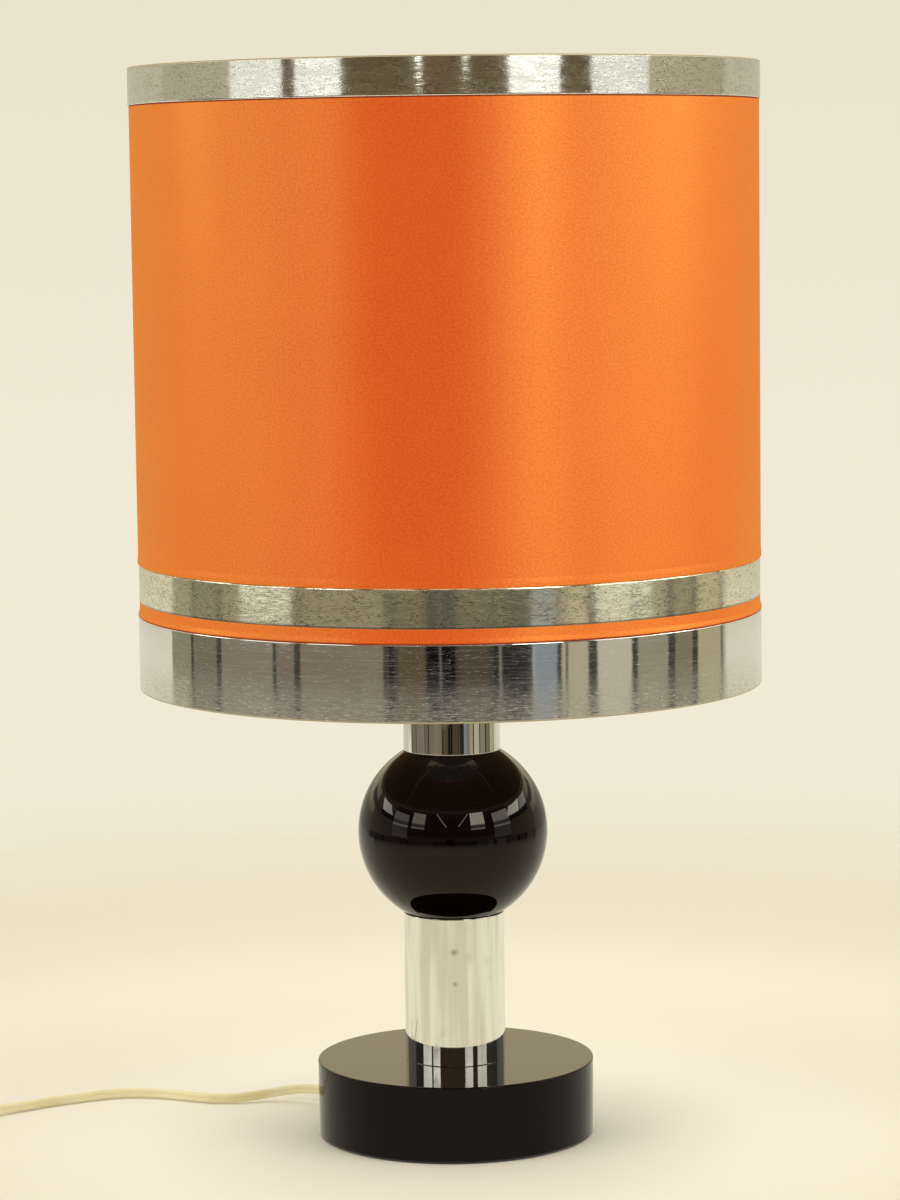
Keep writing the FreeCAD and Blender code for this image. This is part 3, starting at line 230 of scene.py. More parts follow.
def dress(piece, body, slot, *nodes, material=None):
    """Gives a piece its body and the slot's finish, unless it has one of its own, and hides the nodes that
    it stands for."""
    piece.data.materials.clear()
    piece.data.materials.append(material or finishes[slot])
    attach(piece, body)
    if nodes:
        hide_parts(*nodes)
    print(piece.name, len(piece.data.polygons), "faces")
    return piece


# %% [markdown]
# Materials are sums: a base colour plus a little noise, a roughness that rises where the
# surface is worn, a height that feeds a bump. A small class wraps a socket so that such a sum
# is written as plain Python, and each operator adds the Math node that does it. Two more methods
# give the patterns that every finish needs: a soft threshold and a mix of two colours.

# %% Sockets as numbers
class Value:
    """One output of a node. Arithmetic on it adds nodes to the same tree."""

    def __init__(self, tree, socket):
        self.tree = tree
        self.socket = socket

    def __add__(self, other):
        return self.tree.math("ADD", self, other)

    def __radd__(self, other):
        return self.tree.math("ADD", other, self)

    def __sub__(self, other):
        return self.tree.math("SUBTRACT", self, other)

    def __rsub__(self, other):
        return self.tree.math("SUBTRACT", other, self)

    def __mul__(self, other):
        return self.tree.math("MULTIPLY", self, other)

    def __rmul__(self, other):
        return self.tree.math("MULTIPLY", other, self)

    def step(self, low, high):
        """0 at low, 1 at high and a smooth rise between them. Low may be the larger number."""
        sockets = {"Value": self, "From Min": low, "From Max": high}
        return self.tree.node("ShaderNodeMapRange", {"interpolation_type": "SMOOTHSTEP"}, sockets)

    def blend(self, first, second):
        """A mix of two colours, in which this value is the share of the second."""
        settings = {"data_type": "RGBA", "clamp_factor": True}
        return self.tree.node("ShaderNodeMix", settings, {0: self, 6: first, 7: second}, 2)

    def part(self, axis):
        """One of the three numbers of a vector."""
        return self.tree.node("ShaderNodeSeparateXYZ", {}, {0: self}, axis)


# %% Node trees
class Nodes:
    """A node tree that is built up node by node. Its noise reads the UV map, or places in space
    where a finish has to be the same from all sides. Both are in metres. Sizes of patterns and
    depths of bumps are given in millimetres."""

    def __init__(self, owner):
        owner.use_nodes = True
        self.nodes = owner.node_tree.nodes
        self.links = owner.node_tree.links

    def feed(self, socket, value):
        """A wrapped socket is linked, and a plain value is set."""
        if isinstance(value, Value):
            self.links.new(value.socket, socket)
        elif isinstance(value, tuple) and len(value) == 3 and len(socket.default_value) == 4:
            socket.default_value = (*value, 1.0)
        else:
            socket.default_value = value

    def node(self, kind, settings=None, sockets=None, output=0):
        """Any node: its settings first, then the values or links of its sockets."""
        made = self.nodes.new(kind)
        for name, value in (settings or {}).items():
            setattr(made, name, value)
        for name, value in (sockets or {}).items():
            self.feed(made.inputs[name], value)
        return Value(self, made.outputs[output])

    def math(self, operation, *values):
        return self.node("ShaderNodeMath", {"operation": operation}, dict(enumerate(values)))

    def place(self, kind="Object"):
        return self.node("ShaderNodeTexCoord", output=kind)

    def height(self):
        """Height above the table, in metres."""
        return self.place().part("Z")

    def noise(self, place, sizes, detail=2.0, roughness=0.5, distortion=0.0):
        """Noise whose spots have a size for each direction."""
        scale = tuple(1 / (size * mm) for size in sizes)
        scaled = self.node("ShaderNodeMapping", sockets={"Vector": place, "Scale": scale})
        return self.node("ShaderNodeTexNoise", sockets={
            "Vector": scaled, "Scale": 1.0, "Detail": detail, "Roughness": roughness,
            "Distortion": distortion})

    def surface_noise(self, along, up, *look):
        return self.noise(self.place("UV"), (along, up, 1), *look)

    def solid_noise(self, size, *look):
        return self.noise(self.place(), (size,) * 3, *look)

    def mix(self, share, first, second):
        """Two shaders, and the share of the second."""
        return self.node("ShaderNodeMixShader", sockets={0: share, 1: first, 2: second})

    def show(self, shader, output="Material Output"):
        self.links.new(shader.socket, self.nodes[output].inputs["Surface"])


class Finish(Nodes):
    """A material with a Principled shader."""

    def __init__(self, name):
        self.material = bpy.data.materials.new(name)
        super().__init__(self.material)
        self.shader = self.nodes["Principled BSDF"]

    def bump(self, height, depth, strength=1.0, **more):
        sockets = {"Height": height, "Distance": depth * mm, "Strength": strength, **more}
        return self.node("ShaderNodeBump", sockets=sockets)

    def surface(self):
        return Value(self, self.shader.outputs[0])

    def skin(self, **values):
        """Sets sockets of the shader. Underscores in a name stand for spaces."""
        for name, value in values.items():
            self.feed(self.shader.inputs[name.replace("_", " ").title().replace("Ior", "IOR")], value)
        return self.material


# %% [markdown]
# The cord is a flat twin lead of clear golden plastic that lies on its edge. Its route repeats
# the construction's points. A smooth spline through them gives the centre line, and the lead's
# section, two round cores with a web between them, is carried along it.

# %% The cord's route
cord_width = 5.8 * mm
cord_floor = 2.95 * mm
base_radius = radius_of("base_cover")
exit_turn = math.radians(141)
exit_height = 8.6 * mm
sleeve_length = 20 * mm
near_lead = 12.5 * mm
far_lead = 16 * mm
switch_centre = (-320.5 * mm, 1.5 * mm)
switch_turn = math.radians(221)
switch_half_length = 31 * mm
switch_parting = 7.4 * mm
plug_cord_end = (-378.8 * mm, 163.2 * mm)
plug_turn = math.radians(50)
plug_middle_height = 6.85 * mm
coil_centre = (-360.0 * mm, 90.0 * mm)
coil_middle_radius = 34.0 * mm
coil_pitch = 6.6 * mm
coil_turns_per_layer = 2.75
coil_climb_turns = 0.5
points_per_turn = 16

free_route_mm = [
    (-99.5, 75.0, 6.4),
    (-116.0, 74.5, 3.8),
    (-132.0, 69.5, 2.95),
    (-149.0, 71.5, 2.95),
    (-172.0, 84.5, 2.95),
    (-199.0, 89.0, 2.95),
    (-231.0, 74.0, 2.95),
    (-262.0, 52.5, 2.95),
    (-278.0, 38.0, 4.4),
]
link_route_mm = [
    (-374.5, -34.0, 4.8),
    (-393.0, -29.5, 2.95),
    (-406.5, -15.5, 2.95),
    (-411.5, 3.5, 2.95),
    (-409.0, 27.0, 2.95),
    (-403.5, 48.5, 2.95),
]
tail_route_mm = [
    (-399.3, 131.5, 7.8),
]


def in_metres(route_mm):
    return [tuple(c * mm for c in point) for point in route_mm]


def on_axis(start, turn, distance, height):
    """A point on a level axis that starts at a place and points along a turn."""
    return (start[0] + distance * math.cos(turn), start[1] + distance * math.sin(turn), height)


def coil_point(turns):
    """The coil spirals in on the floor, climbs in the half turn where it reverses, and spirals
    out again on top."""
    outward = coil_turns_per_layer + coil_climb_turns
    inner = coil_middle_radius - coil_pitch * coil_turns_per_layer / 2
    climb = min(max((turns - coil_turns_per_layer) / coil_climb_turns, 0.0), 1.0)
    radius = inner - coil_pitch * coil_climb_turns * climb * (1 - climb)
    radius += coil_pitch * max(coil_turns_per_layer - turns, turns - outward, 0.0)
    layer = climb * climb * (3 - 2 * climb)
    turn = math.pi - 2 * math.pi * turns
    return (coil_centre[0] + radius * math.cos(turn), coil_centre[1] + radius * math.sin(turn),
            cord_floor + coil_pitch * layer)


def free_stretch():
    """From the sleeve at the base to the switch."""
    exits = [on_axis((0, 0), exit_turn, base_radius + sleeve_length + d, exit_height)
             for d in (0, near_lead)]
    entries = [on_axis(switch_centre, switch_turn, -switch_half_length - d, switch_parting)
               for d in (near_lead, 0)]
    return exits + in_metres(free_route_mm) + entries


def long_stretch():
    """From the switch by way of the coil to the plug."""
    exits = [on_axis(switch_centre, switch_turn, switch_half_length + d, switch_parting)
             for d in (0, far_lead)]
    all_turns = 2 * coil_turns_per_layer + coil_climb_turns
    steps = int(round(all_turns * points_per_turn))
    coil = [coil_point(all_turns * k / steps) for k in range(steps + 1)]
    arrive = (coil[0][0], coil[0][1] - cord_width - far_lead, cord_floor)
    depart = (coil[-1][0], coil[-1][1] + cord_width + far_lead, coil[-1][2])
    entries = [on_axis(plug_cord_end, plug_turn, -d, plug_middle_height) for d in (far_lead, 0)]
    return (exits + in_metres(link_route_mm) + [arrive] + coil + [depart]
            + in_metres(tail_route_mm) + entries)


# %% The cord's centre line
def smooth_line(name, route):
    """The route's points as the control points of one smooth spline, read back as a dense row
    of places."""
    data = bpy.data.curves.new(name, "CURVE")
    data.dimensions = "3D"
    spline = data.splines.new("NURBS")
    spline.points.add(len(route) - 1)
    for point, place in zip(spline.points, route):
        point.co = (*place, 1.0)
    spline.order_u = 3
    spline.use_endpoint_u = True
    spline.resolution_u = 8
    curve = bpy.data.objects.new(name, data)
    bpy.context.scene.collection.objects.link(curve)
    bpy.context.view_layer.update()
    graph = bpy.context.evaluated_depsgraph_get()
    line = bpy.data.meshes.new_from_object(curve.evaluated_get(graph))
    places = np.zeros(len(line.vertices) * 3)
    line.vertices.foreach_get("co", places)
    bpy.data.objects.remove(curve)
    bpy.data.meshes.remove(line)
    places = places.reshape(-1, 3)
    apart = np.concatenate([[True], np.linalg.norm(np.diff(places, axis=0), axis=1) > 1e-7])
    return places[apart]


core_radius = 1.55 * mm
core_offset = cord_width / 2 - core_radius
web_half_width = 1.0 * mm
section_points = 28


def twin_section():
    """Distance from the middle at each angle from upright: the outer edge of two circles, or of
    the web between them where that is wider, joined smoothly by an eighth-power mean."""
    angle = 2 * np.pi * np.arange(section_points) / section_points
    inside = np.clip(core_radius ** 2 - (core_offset * np.sin(angle)) ** 2, 0, None)
    circles = core_offset * np.abs(np.cos(angle)) + np.sqrt(inside)
    web = web_half_width / np.maximum(np.abs(np.sin(angle)), 0.2)
    web = np.minimum(web, circles * 2) * (np.abs(np.sin(angle)) > 0.5)
    reach = np.minimum((circles ** 8 + web ** 8) ** (1 / 8), cord_width / 2)
    return np.stack([reach * np.sin(angle), reach * np.cos(angle)], axis=1)


def lead_mesh(name, line):
    """The section carried along the line. Its flat side stays upright: aside is the line's
    heading crossed with up."""
    heading = np.gradient(line, axis=0)
    heading /= np.linalg.norm(heading, axis=1)[:, None]
    aside = np.cross(heading, (0, 0, 1))
    aside /= np.linalg.norm(aside, axis=1)[:, None]
    upright = np.cross(aside, heading)
    section = twin_section()
    grid = (line[:, None, :] + aside[:, None, :] * section[None, :, :1]
            + upright[:, None, :] * section[None, :, 1:])
    rows, columns = grid.shape[:2]
    i, j = np.meshgrid(np.arange(rows - 1), np.arange(columns), indexing="ij")
    corners = (0, 0), (1, 0), (1, 1), (0, 1)
    quads = np.stack([(i + on) * columns + (j + round_it) % columns for on, round_it in corners], -1)
    along = running_length(line)
    around = core_radius * 2 * np.pi / columns
    uvs = np.stack([np.stack([along[i + on], (j + round_it) * around], -1) for on, round_it in corners], 2)
    first_end = list(range(columns))
    last_end = [(rows - 1) * columns + c for c in reversed(range(columns))]
    faces = quads.reshape(-1, 4).tolist() + [first_end, last_end]
    caps = np.zeros((2 * columns, 2))
    return mesh_piece(name, grid, faces, np.vstack([uvs.reshape(-1, 2), caps]))


# %% [markdown]
# The plastic of the cord is clear enough for light to pass and yellowed with age. A little
# scattering under a glossy skin gives that better than real refraction, which would only
# show the far wall of a solid tube.

# %% Cord finish and cords
def cord_finish():
    """Golden plastic with cloudy yellowing and fine brown flecks."""
    finish = Finish("golden_cord")
    clouds = finish.surface_noise(30, 10, 2.0)
    light = clouds.step(0.3, 0.7).blend((0.76, 0.68, 0.38), (0.84, 0.78, 0.52))
    flecks = finish.surface_noise(1.5, 0.6, 2.0)
    colour = (flecks.step(0.6, 0.8) * 0.25).blend(light, (0.42, 0.33, 0.12))
    return finish.skin(base_color=colour, roughness=0.25 + 0.15 * clouds, subsurface_weight=0.35,
                       subsurface_radius=(0.004, 0.003, 0.001), subsurface_scale=1.0, coat_weight=0.3)


golden_cord = cord_finish()
switch_parts = ["lower", "upper", "rocker", "pin", "contacts", "screws"]
switch_nodes = ["switch_" + part for part in switch_parts]
plug_nodes = ["plug_body", "plug_pins"]


def lay_cord(name, route, far_end, with_pieces, *nodes):
    """A length of lead on its route."""
    line = smooth_line(name + "_line", route)
    lead = dress(lead_mesh(name, line), "lamp", "cord", *nodes, material=golden_cord)
    return lead


lay_cord("cord_to_switch", free_stretch(), "fitting", switch_nodes, "cord_free")
long_cord = lay_cord("cord_to_plug", long_stretch(), "plug", plug_nodes,
                     "cord_link", "cord_coil", "cord_tail")
# What lies past the edge of the picture isn't mirrored in the lamp either.
for piece in [long_cord] + [frame["nodes"][name] for name in switch_nodes + plug_nodes]:
    piece.visible_glossy = False

# %% [markdown]
# Polished metal and black glass have almost no colour of their own, so what stands around them
# matters more than the finish. The studio's walls are on the sky: dark and light walls, and upright
# cards in plain tones. Only mirror rays see them. The camera sees plain cream, and matt surfaces
# are lit by even light from all round.

# %% Studio cards
cream = (0.885, 0.820, 0.670)
soft_edge = 0.6
# Each card: azimuth from and to (0 faces the camera, plus is to the right), elevation from and
# to, all in degrees, then its tone.
cards = [
    (-123, -109, -60, -4, (0.26, 0.24, 0.16)),
    (-124, -111.5, -60, -7.8, (0.84, 0.80, 0.67)),
    (-108, -94, -60, -4, (0.18, 0.16, 0.11)),
    (-92, -67, -60, -4, (0.24, 0.20, 0.15)),
    (-66, -58, -60, -4, (0.20, 0.16, 0.12)),
    (-56, -24, -60, -4, (0.22, 0.18, 0.13)),
    (-22.5, -20, -60, -4, (0.02, 0.018, 0.014)),
    (-19, -9, -60, -4, (0.105, 0.075, 0.042)),
    (-9, 2, -60, -2, (0.006, 0.005, 0.004)),
    (-9, 2, -2, 4, (0.17, 0.11, 0.065)),
    (-4.2, -3.2, -60, -4, (0.24, 0.225, 0.19)),
    (3, 14, -60, -4, (0.085, 0.065, 0.040)),
    (15, 28, -60, -4, (0.028, 0.026, 0.020)),
    (17, 18.4, -60, -4, (0.25, 0.23, 0.17)),
    (29, 39, -60, -4, (0.25, 0.28, 0.31)),
    (29.4, 30.8, -60, -4, (0.36, 0.37, 0.37)),
    (40, 51, -60, -4, (0.46, 0.40, 0.29)),
    (41.6, 43, -60, -4, (0.04, 0.036, 0.028)),
    (54, 69, -60, -4, (0.53, 0.48, 0.38)),
    (71, 86, -60, -4, (0.30, 0.27, 0.19)),
    (89, 99, -60, -4, (0.22, 0.19, 0.12)),
    (101.5, 117, -60, -4, (0.44, 0.385, 0.24)),
    (-120, -80, -4, 60, (0.48, 0.44, 0.31)),
    (76, 120, -4, 60, (0.46, 0.41, 0.275)),
    (-104, -79.5, 11, 16, (0.07, 0.065, 0.06)),
    (-142, -104, 11, 16, (0.31, 0.29, 0.29)),
    (76, 113, 11, 16, (0.11, 0.105, 0.09)),
    (113, 148, 11, 16, (0.34, 0.33, 0.32)),
]
front_tone = (0.13, 0.090, 0.050)
horizon_tone = (0.26, 0.22, 0.11)
gap_tone = (0.055, 0.048, 0.036)
ceiling_tone = (0.30, 0.28, 0.24)
behind_low = (0.76, 0.72, 0.60)
behind_middle = (0.58, 0.54, 0.41)
behind_high = (1.32, 1.12, 0.72)
even_light = tuple(0.70 * c for c in (1.0, 0.965, 0.90))


def studio_world():
    """Azimuth is the arc tangent of sideways over towards the camera, and elevation is the arc sine
    of the upward part. The walls are laid down first, and the cards over them with soft edges."""
    world = bpy.data.worlds.new("studio")
    bpy.context.scene.world = world
    sky = Nodes(world)
    x, y, z = (sky.place("Generated").part(axis) for axis in "XYZ")
    degrees = 180 / math.pi
    azimuth = sky.math("ARCTAN2", x, -1 * y) * degrees
    elevation = sky.math("ARCSINE", z) * degrees
    behind = sky.math("ABSOLUTE", azimuth).step(116, 122)
    seen = elevation.step(20, 40).blend(front_tone, ceiling_tone)
    seen = elevation.step(1, 0).blend(seen, horizon_tone)
    seen = elevation.step(-4, -5).blend(seen, gap_tone)
    wall = elevation.step(-7, -5.5).blend(behind_low, behind_middle)
    seen = behind.blend(seen, elevation.step(4, 9).blend(wall, behind_high))
    for start, end, low, high, tone in cards:
        across = azimuth.step(start, start + soft_edge) * azimuth.step(end, end - soft_edge)
        upward = elevation.step(low, low + soft_edge) * elevation.step(high, high - soft_edge)
        seen = (across * upward).blend(seen, tone)
    backdrop = elevation.step(-5, 4).blend(cream, (0.82, 0.76, 0.61))
    lit, seen, backdrop = (sky.node("ShaderNodeBackground", sockets={"Color": tone})
                           for tone in (even_light, seen, backdrop))
    for ray, other in (("Is Glossy Ray", seen), ("Is Camera Ray", backdrop)):
        lit = sky.mix(sky.node("ShaderNodeLightPath", output=ray), lit, other)
    sky.show(lit, "World Output")
    print("studio cards:", len(cards))


studio_world()

# %% [markdown]
# The windows are sheets of light that stand round the lamp, because they are near enough for the
# shade, the bands and the globe to show them at different heights. Camera and matt surfaces don't
# see them: they are there for mirror and satin reflections alone.

# %% Windows
window_distance = 2.2
glare_height = 0.74
sill_light = 2.6
sill_low, sill_high = 0.51, 0.60
# Each window: azimuth of its left and right edge in degrees, height of its foot and its head in
# metres, lean of its head to the right in degrees, and how bright it is below and above the height
# where the sky's glare begins. All are brighter by the sill light between its two heights.
windows = [
    (-79, -57, 0.09, 1.05, 0, 0.87, 2.4),
    (-52, -35, 0.52, 1.25, 0, 0.84, 4.0),
    (22, 40, 0.50, 1.38, 0, 0.88, 9.0),
    (51.5, 75, 0.09, 1.15, 0, 0.78, 4.0),
    (-102, -82, 0.80, 1.12, -8, 6.0, 6.0),
    (72, 94, 0.80, 1.15, 8, 8.5, 8.5),
    (96, 114, 0.80, 1.15, 8, 3.0, 3.0),
    (-8.5, -7.3, 0.68, 1.34, -13, 6.0, 6.0),
    (6.3, 7.5, 0.70, 1.34, 13, 6.0, 6.0),
]
window_tone = (1.0, 1.0, 0.90)
window_steps = 4


def light_tone(name, below, above):
    """Window light is a little uneven over the pane, and the sky glares in its upper part."""
    material = bpy.data.materials.new(name)
    pane = Nodes(material)
    clouds = pane.solid_noise(500, 1.0)
    height = pane.height()
    glare = height.step(glare_height - 0.05, glare_height + 0.05)
    sill = height.step(sill_low, sill_low + 0.01) * height.step(sill_high, sill_high - 0.02)
    power = (below + (above - below) * glare + sill_light * sill) * (0.9 + 0.2 * clouds)
    pane.show(pane.node("ShaderNodeEmission", sockets={"Color": window_tone, "Strength": power}))
    return material


def window(name, left, right, foot, head, lean, below, above):
    """Point (i, j) lies at height i on a cylinder round the lamp, at azimuth j plus the lean's
    share of the way up."""
    share = np.linspace(0, 1, window_steps + 1)
    azimuth = np.radians(left + (right - left) * share[None, :] + lean * share[:, None])
    height = np.repeat((foot + (head - foot) * share)[:, None], len(share), axis=1)
    grid = np.stack([window_distance * np.sin(azimuth), -window_distance * np.cos(azimuth), height], -1)
    corner = np.arange(len(share) ** 2).reshape(len(share), -1)
    faces = np.stack([corner[:-1, 1:], corner[:-1, :-1], corner[1:, :-1], corner[1:, 1:]], -1)
    uvs = np.zeros((faces.size, 2))
    pane = mesh_piece(name, grid, faces.reshape(-1, 4).tolist(), uvs, light_tone(name, below, above))
    pane.visible_camera = pane.visible_diffuse = pane.visible_shadow = False
    pane.visible_transmission = pane.visible_volume_scatter = False


for number, pane in enumerate(windows):
    window("window_" + str(number), *pane)
print("windows:", len(windows))

# %% [markdown]
# Two large soft boxes stand left and right, a little in front, as in the picture, where both
# flanks of the shade are lighter than its middle. A third one above gives the soft shadow
# round the foot. They are hidden from mirror rays, because the windows stand for them there.

# %% Soft boxes
soft_box_distance = 2.2
lamp_middle = Vector((0, 0, 0.3))


def soft_box(name, azimuth, elevation, size, watts):
    """A square light on a sphere round the lamp's middle, facing it."""
    turn, rise = math.radians(azimuth), math.radians(elevation)
    outward = Vector((math.sin(turn) * math.cos(rise), -math.cos(turn) * math.cos(rise), math.sin(rise)))
    data = bpy.data.lights.new(name, "AREA")
    data.size = size
    data.energy = watts
    data.color = (1.0, 0.985, 0.95)
    box = bpy.data.objects.new(name, data)
    facing = outward.to_track_quat("Z", "Y").to_matrix().to_4x4()
    box.matrix_world = Matrix.Translation(lamp_middle + outward * soft_box_distance) @ facing
    box.visible_glossy = box.visible_camera = False
    bpy.context.scene.collection.objects.link(box)


soft_box("left_box", -60, 24, 1.6, 14)
soft_box("right_box", 60, 24, 1.6, 16)
soft_box("top_box", 175, 72, 1.8, 21)

# %% Floor
mirrored_floor = (0.92, 0.865, 0.68)
floor_below = 0.3 * mm
floor_thickness = 0.7 * mm
floor_radius = 1.5


def floor_finish():
    """Cream, matt, and fading into the cream of the sky away from the lamp. Close to the lamp it is painted
    paler: painted light that softens the lamp's shadow on it. Mirror rays see its plain colour, so that
    chrome and glass show an even floor."""
    finish = Finish("cream_floor")
    distance = finish.node("ShaderNodeVectorMath", {"operation": "LENGTH"}, {0: finish.place()}, "Value")
    clouds = finish.solid_noise(400, 2.0)
    tone = clouds.blend((0.80, 0.745, 0.605), (0.84, 0.785, 0.64))
    # Painted light: the floor is paler close to the lamp, which lightens the lamp's own shadow there.
    tone = distance.step(0.34, 0.12).blend(tone, (0.90, 0.85, 0.71))
    finish.skin(base_color=tone, roughness=0.9, specular_ior_level=0.1)
    plain = finish.node("ShaderNodeEmission", sockets={"Color": mirrored_floor})
    mirror_ray = finish.node("ShaderNodeLightPath", output="Is Glossy Ray")
    lit = finish.mix(mirror_ray, finish.surface(), plain)
    clear = finish.node("ShaderNodeBsdfTransparent")
    finish.show(finish.mix(distance.step(0.40, 1.35), lit, clear))
    return finish.material


floor_disc = np.array([(radius, -floor_below) for radius in (0.0, 0.4, 0.9, floor_radius)]
                      + [(radius, -floor_below - floor_thickness) for radius in (floor_radius, 0.0)])
floor = turned("floor", floor_disc[::-1], even_angles(96), closed=False)
floor.data.materials.append(floor_finish())

# %% [markdown]
# The shade's cloth is an orange satin on card. It has a fine mottled grain, a trace of a diagonal
# weave and slow clouds of tone. A soft yellow gleam lies over it where it faces a window.

# %% Satin
twill_pitch = 1.7 * mm
dark_foot_width = 0.2 * mm
under_band_shade_width = 0.2 * mm


def satin_finish():
    """Matt orange cloth, and over a part of it the yellow gleam of its threads. The gleam spreads far up and
    down and little sideways, because most threads lie level. Its share follows the grain and rises where the
    cloth turns away. The cloth is darker along the stripe's lower edge, and along its upper edge it carries
    a painted shade where it tucks under the band."""
    finish = Finish("orange_satin")
    grain = finish.surface_noise(1.4, 1.1, 2.5, 0.6)
    threads = finish.surface_noise(0.7, 4, 2.0)
    clouds = finish.surface_noise(70, 50, 3.0)
    cloth = finish.place("UV")
    diagonal = cloth.part("X") + cloth.part("Y")
    twill = finish.math("SINE", diagonal * (2 * math.pi / twill_pitch)) * 0.5 + 0.5
    coarse = (grain * 0.90 + twill * 0.10).step(0.24, 0.76)
    tone = coarse.blend((0.69, 0.025, 0.0004), (0.86, 0.050, 0.0008))
    tone = (clouds.step(0.35, 0.75) * 0.30).blend(tone, (0.86, 0.062, 0.0010))
    top, bottom = top_of("panel_main"), foot_of("stripe")
    height = finish.height()
    # The stripe is darker along its lower edge, and its gleam is turned off there.
    dark_foot = height.step(bottom + 6 * dark_foot_width, bottom + dark_foot_width)
    tone = (dark_foot * 0.6).blend(tone, (0.10, 0.03, 0.01))
    # Painted shade: the cloth's upper edge is darkened where it tucks under the rolled edge of the top band.
    shade_under_band = height.step(top - 4 * under_band_shade_width, top - under_band_shade_width)
    tone = (shade_under_band * 0.7).blend(tone, (0.08, 0.02, 0.005))
    relief = finish.bump(grain * 0.6 + threads * 0.4, 0.1, 0.6)
    finish.skin(base_color=tone, roughness=0.6, specular_ior_level=0.1, normal=relief)
    level = finish.node("ShaderNodeTangent", {"direction_type": "RADIAL", "axis": "Z"})
    gleam = finish.node("ShaderNodeBsdfAnisotropic", sockets={
        "Color": (1.0, 0.84, 0.17), "Roughness": 0.45, "Anisotropy": 0.34, "Normal": relief,
        "Tangent": level})
    turned_away = finish.node("ShaderNodeLayerWeight", sockets={"Blend": 0.5}, output="Facing")
    share = (0.115 + 0.08 * coarse + 0.22 * turned_away) * (1 - dark_foot) * (1 - shade_under_band)
    finish.show(finish.mix(share, finish.surface(), gleam))
    return finish.material


# %% [markdown]
# The three bands are metallised foil. Two of them are crinkled: creases a few millimetres long
# lie almost level, about a millimetre apart. The lowest band is nearly a mirror, with hairline
# scratches along it, pale specks, and frosting towards its foot. The cut edge of the card shows as
# a thin tan line at the rims.

# %% Foils
cut_edge = 0.5 * mm


def foil_finish(name, plain, stained, crease_pitch, crease_depth, crease_shade_darkness, blur, frosted, dulled):
    """Creases are level ridges in the foil and lie in patches. Where they fold, a painted shade darkens
    them, and crease shade darkness is how dark it is. Blur is the plain foil's roughness. A creased foil
    also has a painted shade along the foot of the middle band. A frosted foil has no creases. It is
    scratched along its length, with pale dashes and a haze that grows towards the foot of the band. Dulled
    is how much of a matt look the whole foil has."""
    finish = Finish(name)
    height = finish.height()
    creased = 1 - frosted
    ridges = finish.surface_noise(4.2, crease_pitch, 2.0, 0.5, 0.8)
    patches = finish.surface_noise(12, 4, 2.0).step(0.26, 0.62)
    pits = finish.surface_noise(3, 1.2, 2.0).step(0.69, 0.75) * creased
    dashes = finish.surface_noise(4.2, 0.6, 2.0, 0.6).step(0.61, 0.69) * frosted
    streaks = finish.surface_noise(6, 0.7, 3.0, 0.75).step(0.40, 0.62)
    hairlines = finish.surface_noise(35, 0.5, 2.0, 0.6)
    wobble = finish.surface_noise(50, 20, 1.0)
    clouds = finish.surface_noise(30, 12, 3.0)
    low, high = foot_of("band_bottom"), top_of("band_bottom")
    foot = height.step((low + high) / 2 + 7 * mm, low + 1 * mm)
    tone = clouds.blend(plain, stained)
    # Painted shade: the folds of the creases are darkened in the colour.
    painted_crease_shade = finish.math("ABSOLUTE", ridges - 0.5).step(0.045, 0.010) * patches
    tone = (painted_crease_shade * crease_shade_darkness).blend(tone, (0.11, 0.095, 0.06))
    tone = (pits * 0.75).blend(tone, (0.16, 0.14, 0.09))
    haze = foot * (0.16 + 0.54 * streaks) * frosted
    tone = haze.blend(tone, (0.44, 0.40, 0.28))
    scratches = hairlines.step(0.50, 0.68) * frosted
    tone = (scratches * 0.20).blend(tone, (0.62, 0.59, 0.50))
    tone = (dashes * (0.10 + 0.30 * foot)).blend(tone, (0.85, 0.84, 0.80))
    rim, hem = top_of("band_top"), foot_of("band_middle")
    edge = height.step(rim - 2 * cut_edge, rim - cut_edge) + height.step(low + 2 * cut_edge, low + cut_edge)
    tone = edge.blend(tone, (0.42, 0.33, 0.18))
    # Painted shade: a dark line along the foot of the middle band, just above the stripe.
    painted_foot_shade = height.step(hem + 1.2 * mm, hem + 0.4 * mm) * creased
    tone = (painted_foot_shade * 0.65).blend(tone, (0.16, 0.13, 0.08))
    creases = finish.bump(ridges * patches, crease_depth, 1.0)
    scratched = finish.bump(hairlines, 0.006, Normal=creases)
    waved = finish.bump(wobble, 0.6, 0.15, Normal=scratched)
    roughness = blur + 0.04 * patches * creased + (0.08 + 0.10 * foot) * dashes + 0.20 * haze + 0.3 * pits
    metallic = 1 - edge * 0.9 - haze * 0.5 - scratches * 0.10 - dashes * 0.2 - dulled
    return finish.skin(base_color=tone, metallic=metallic, roughness=roughness + edge * 0.4, normal=waved)


# %% Chrome
column_radius = radius_of("column_tube")
# Each spot on the front of the column: how far to the right, how high, and its size.
tarnish_spots = [(-0.3 * mm, 108.8 * mm, 3.2 * mm), (0.0, 90.6 * mm, 2.2 * mm)]


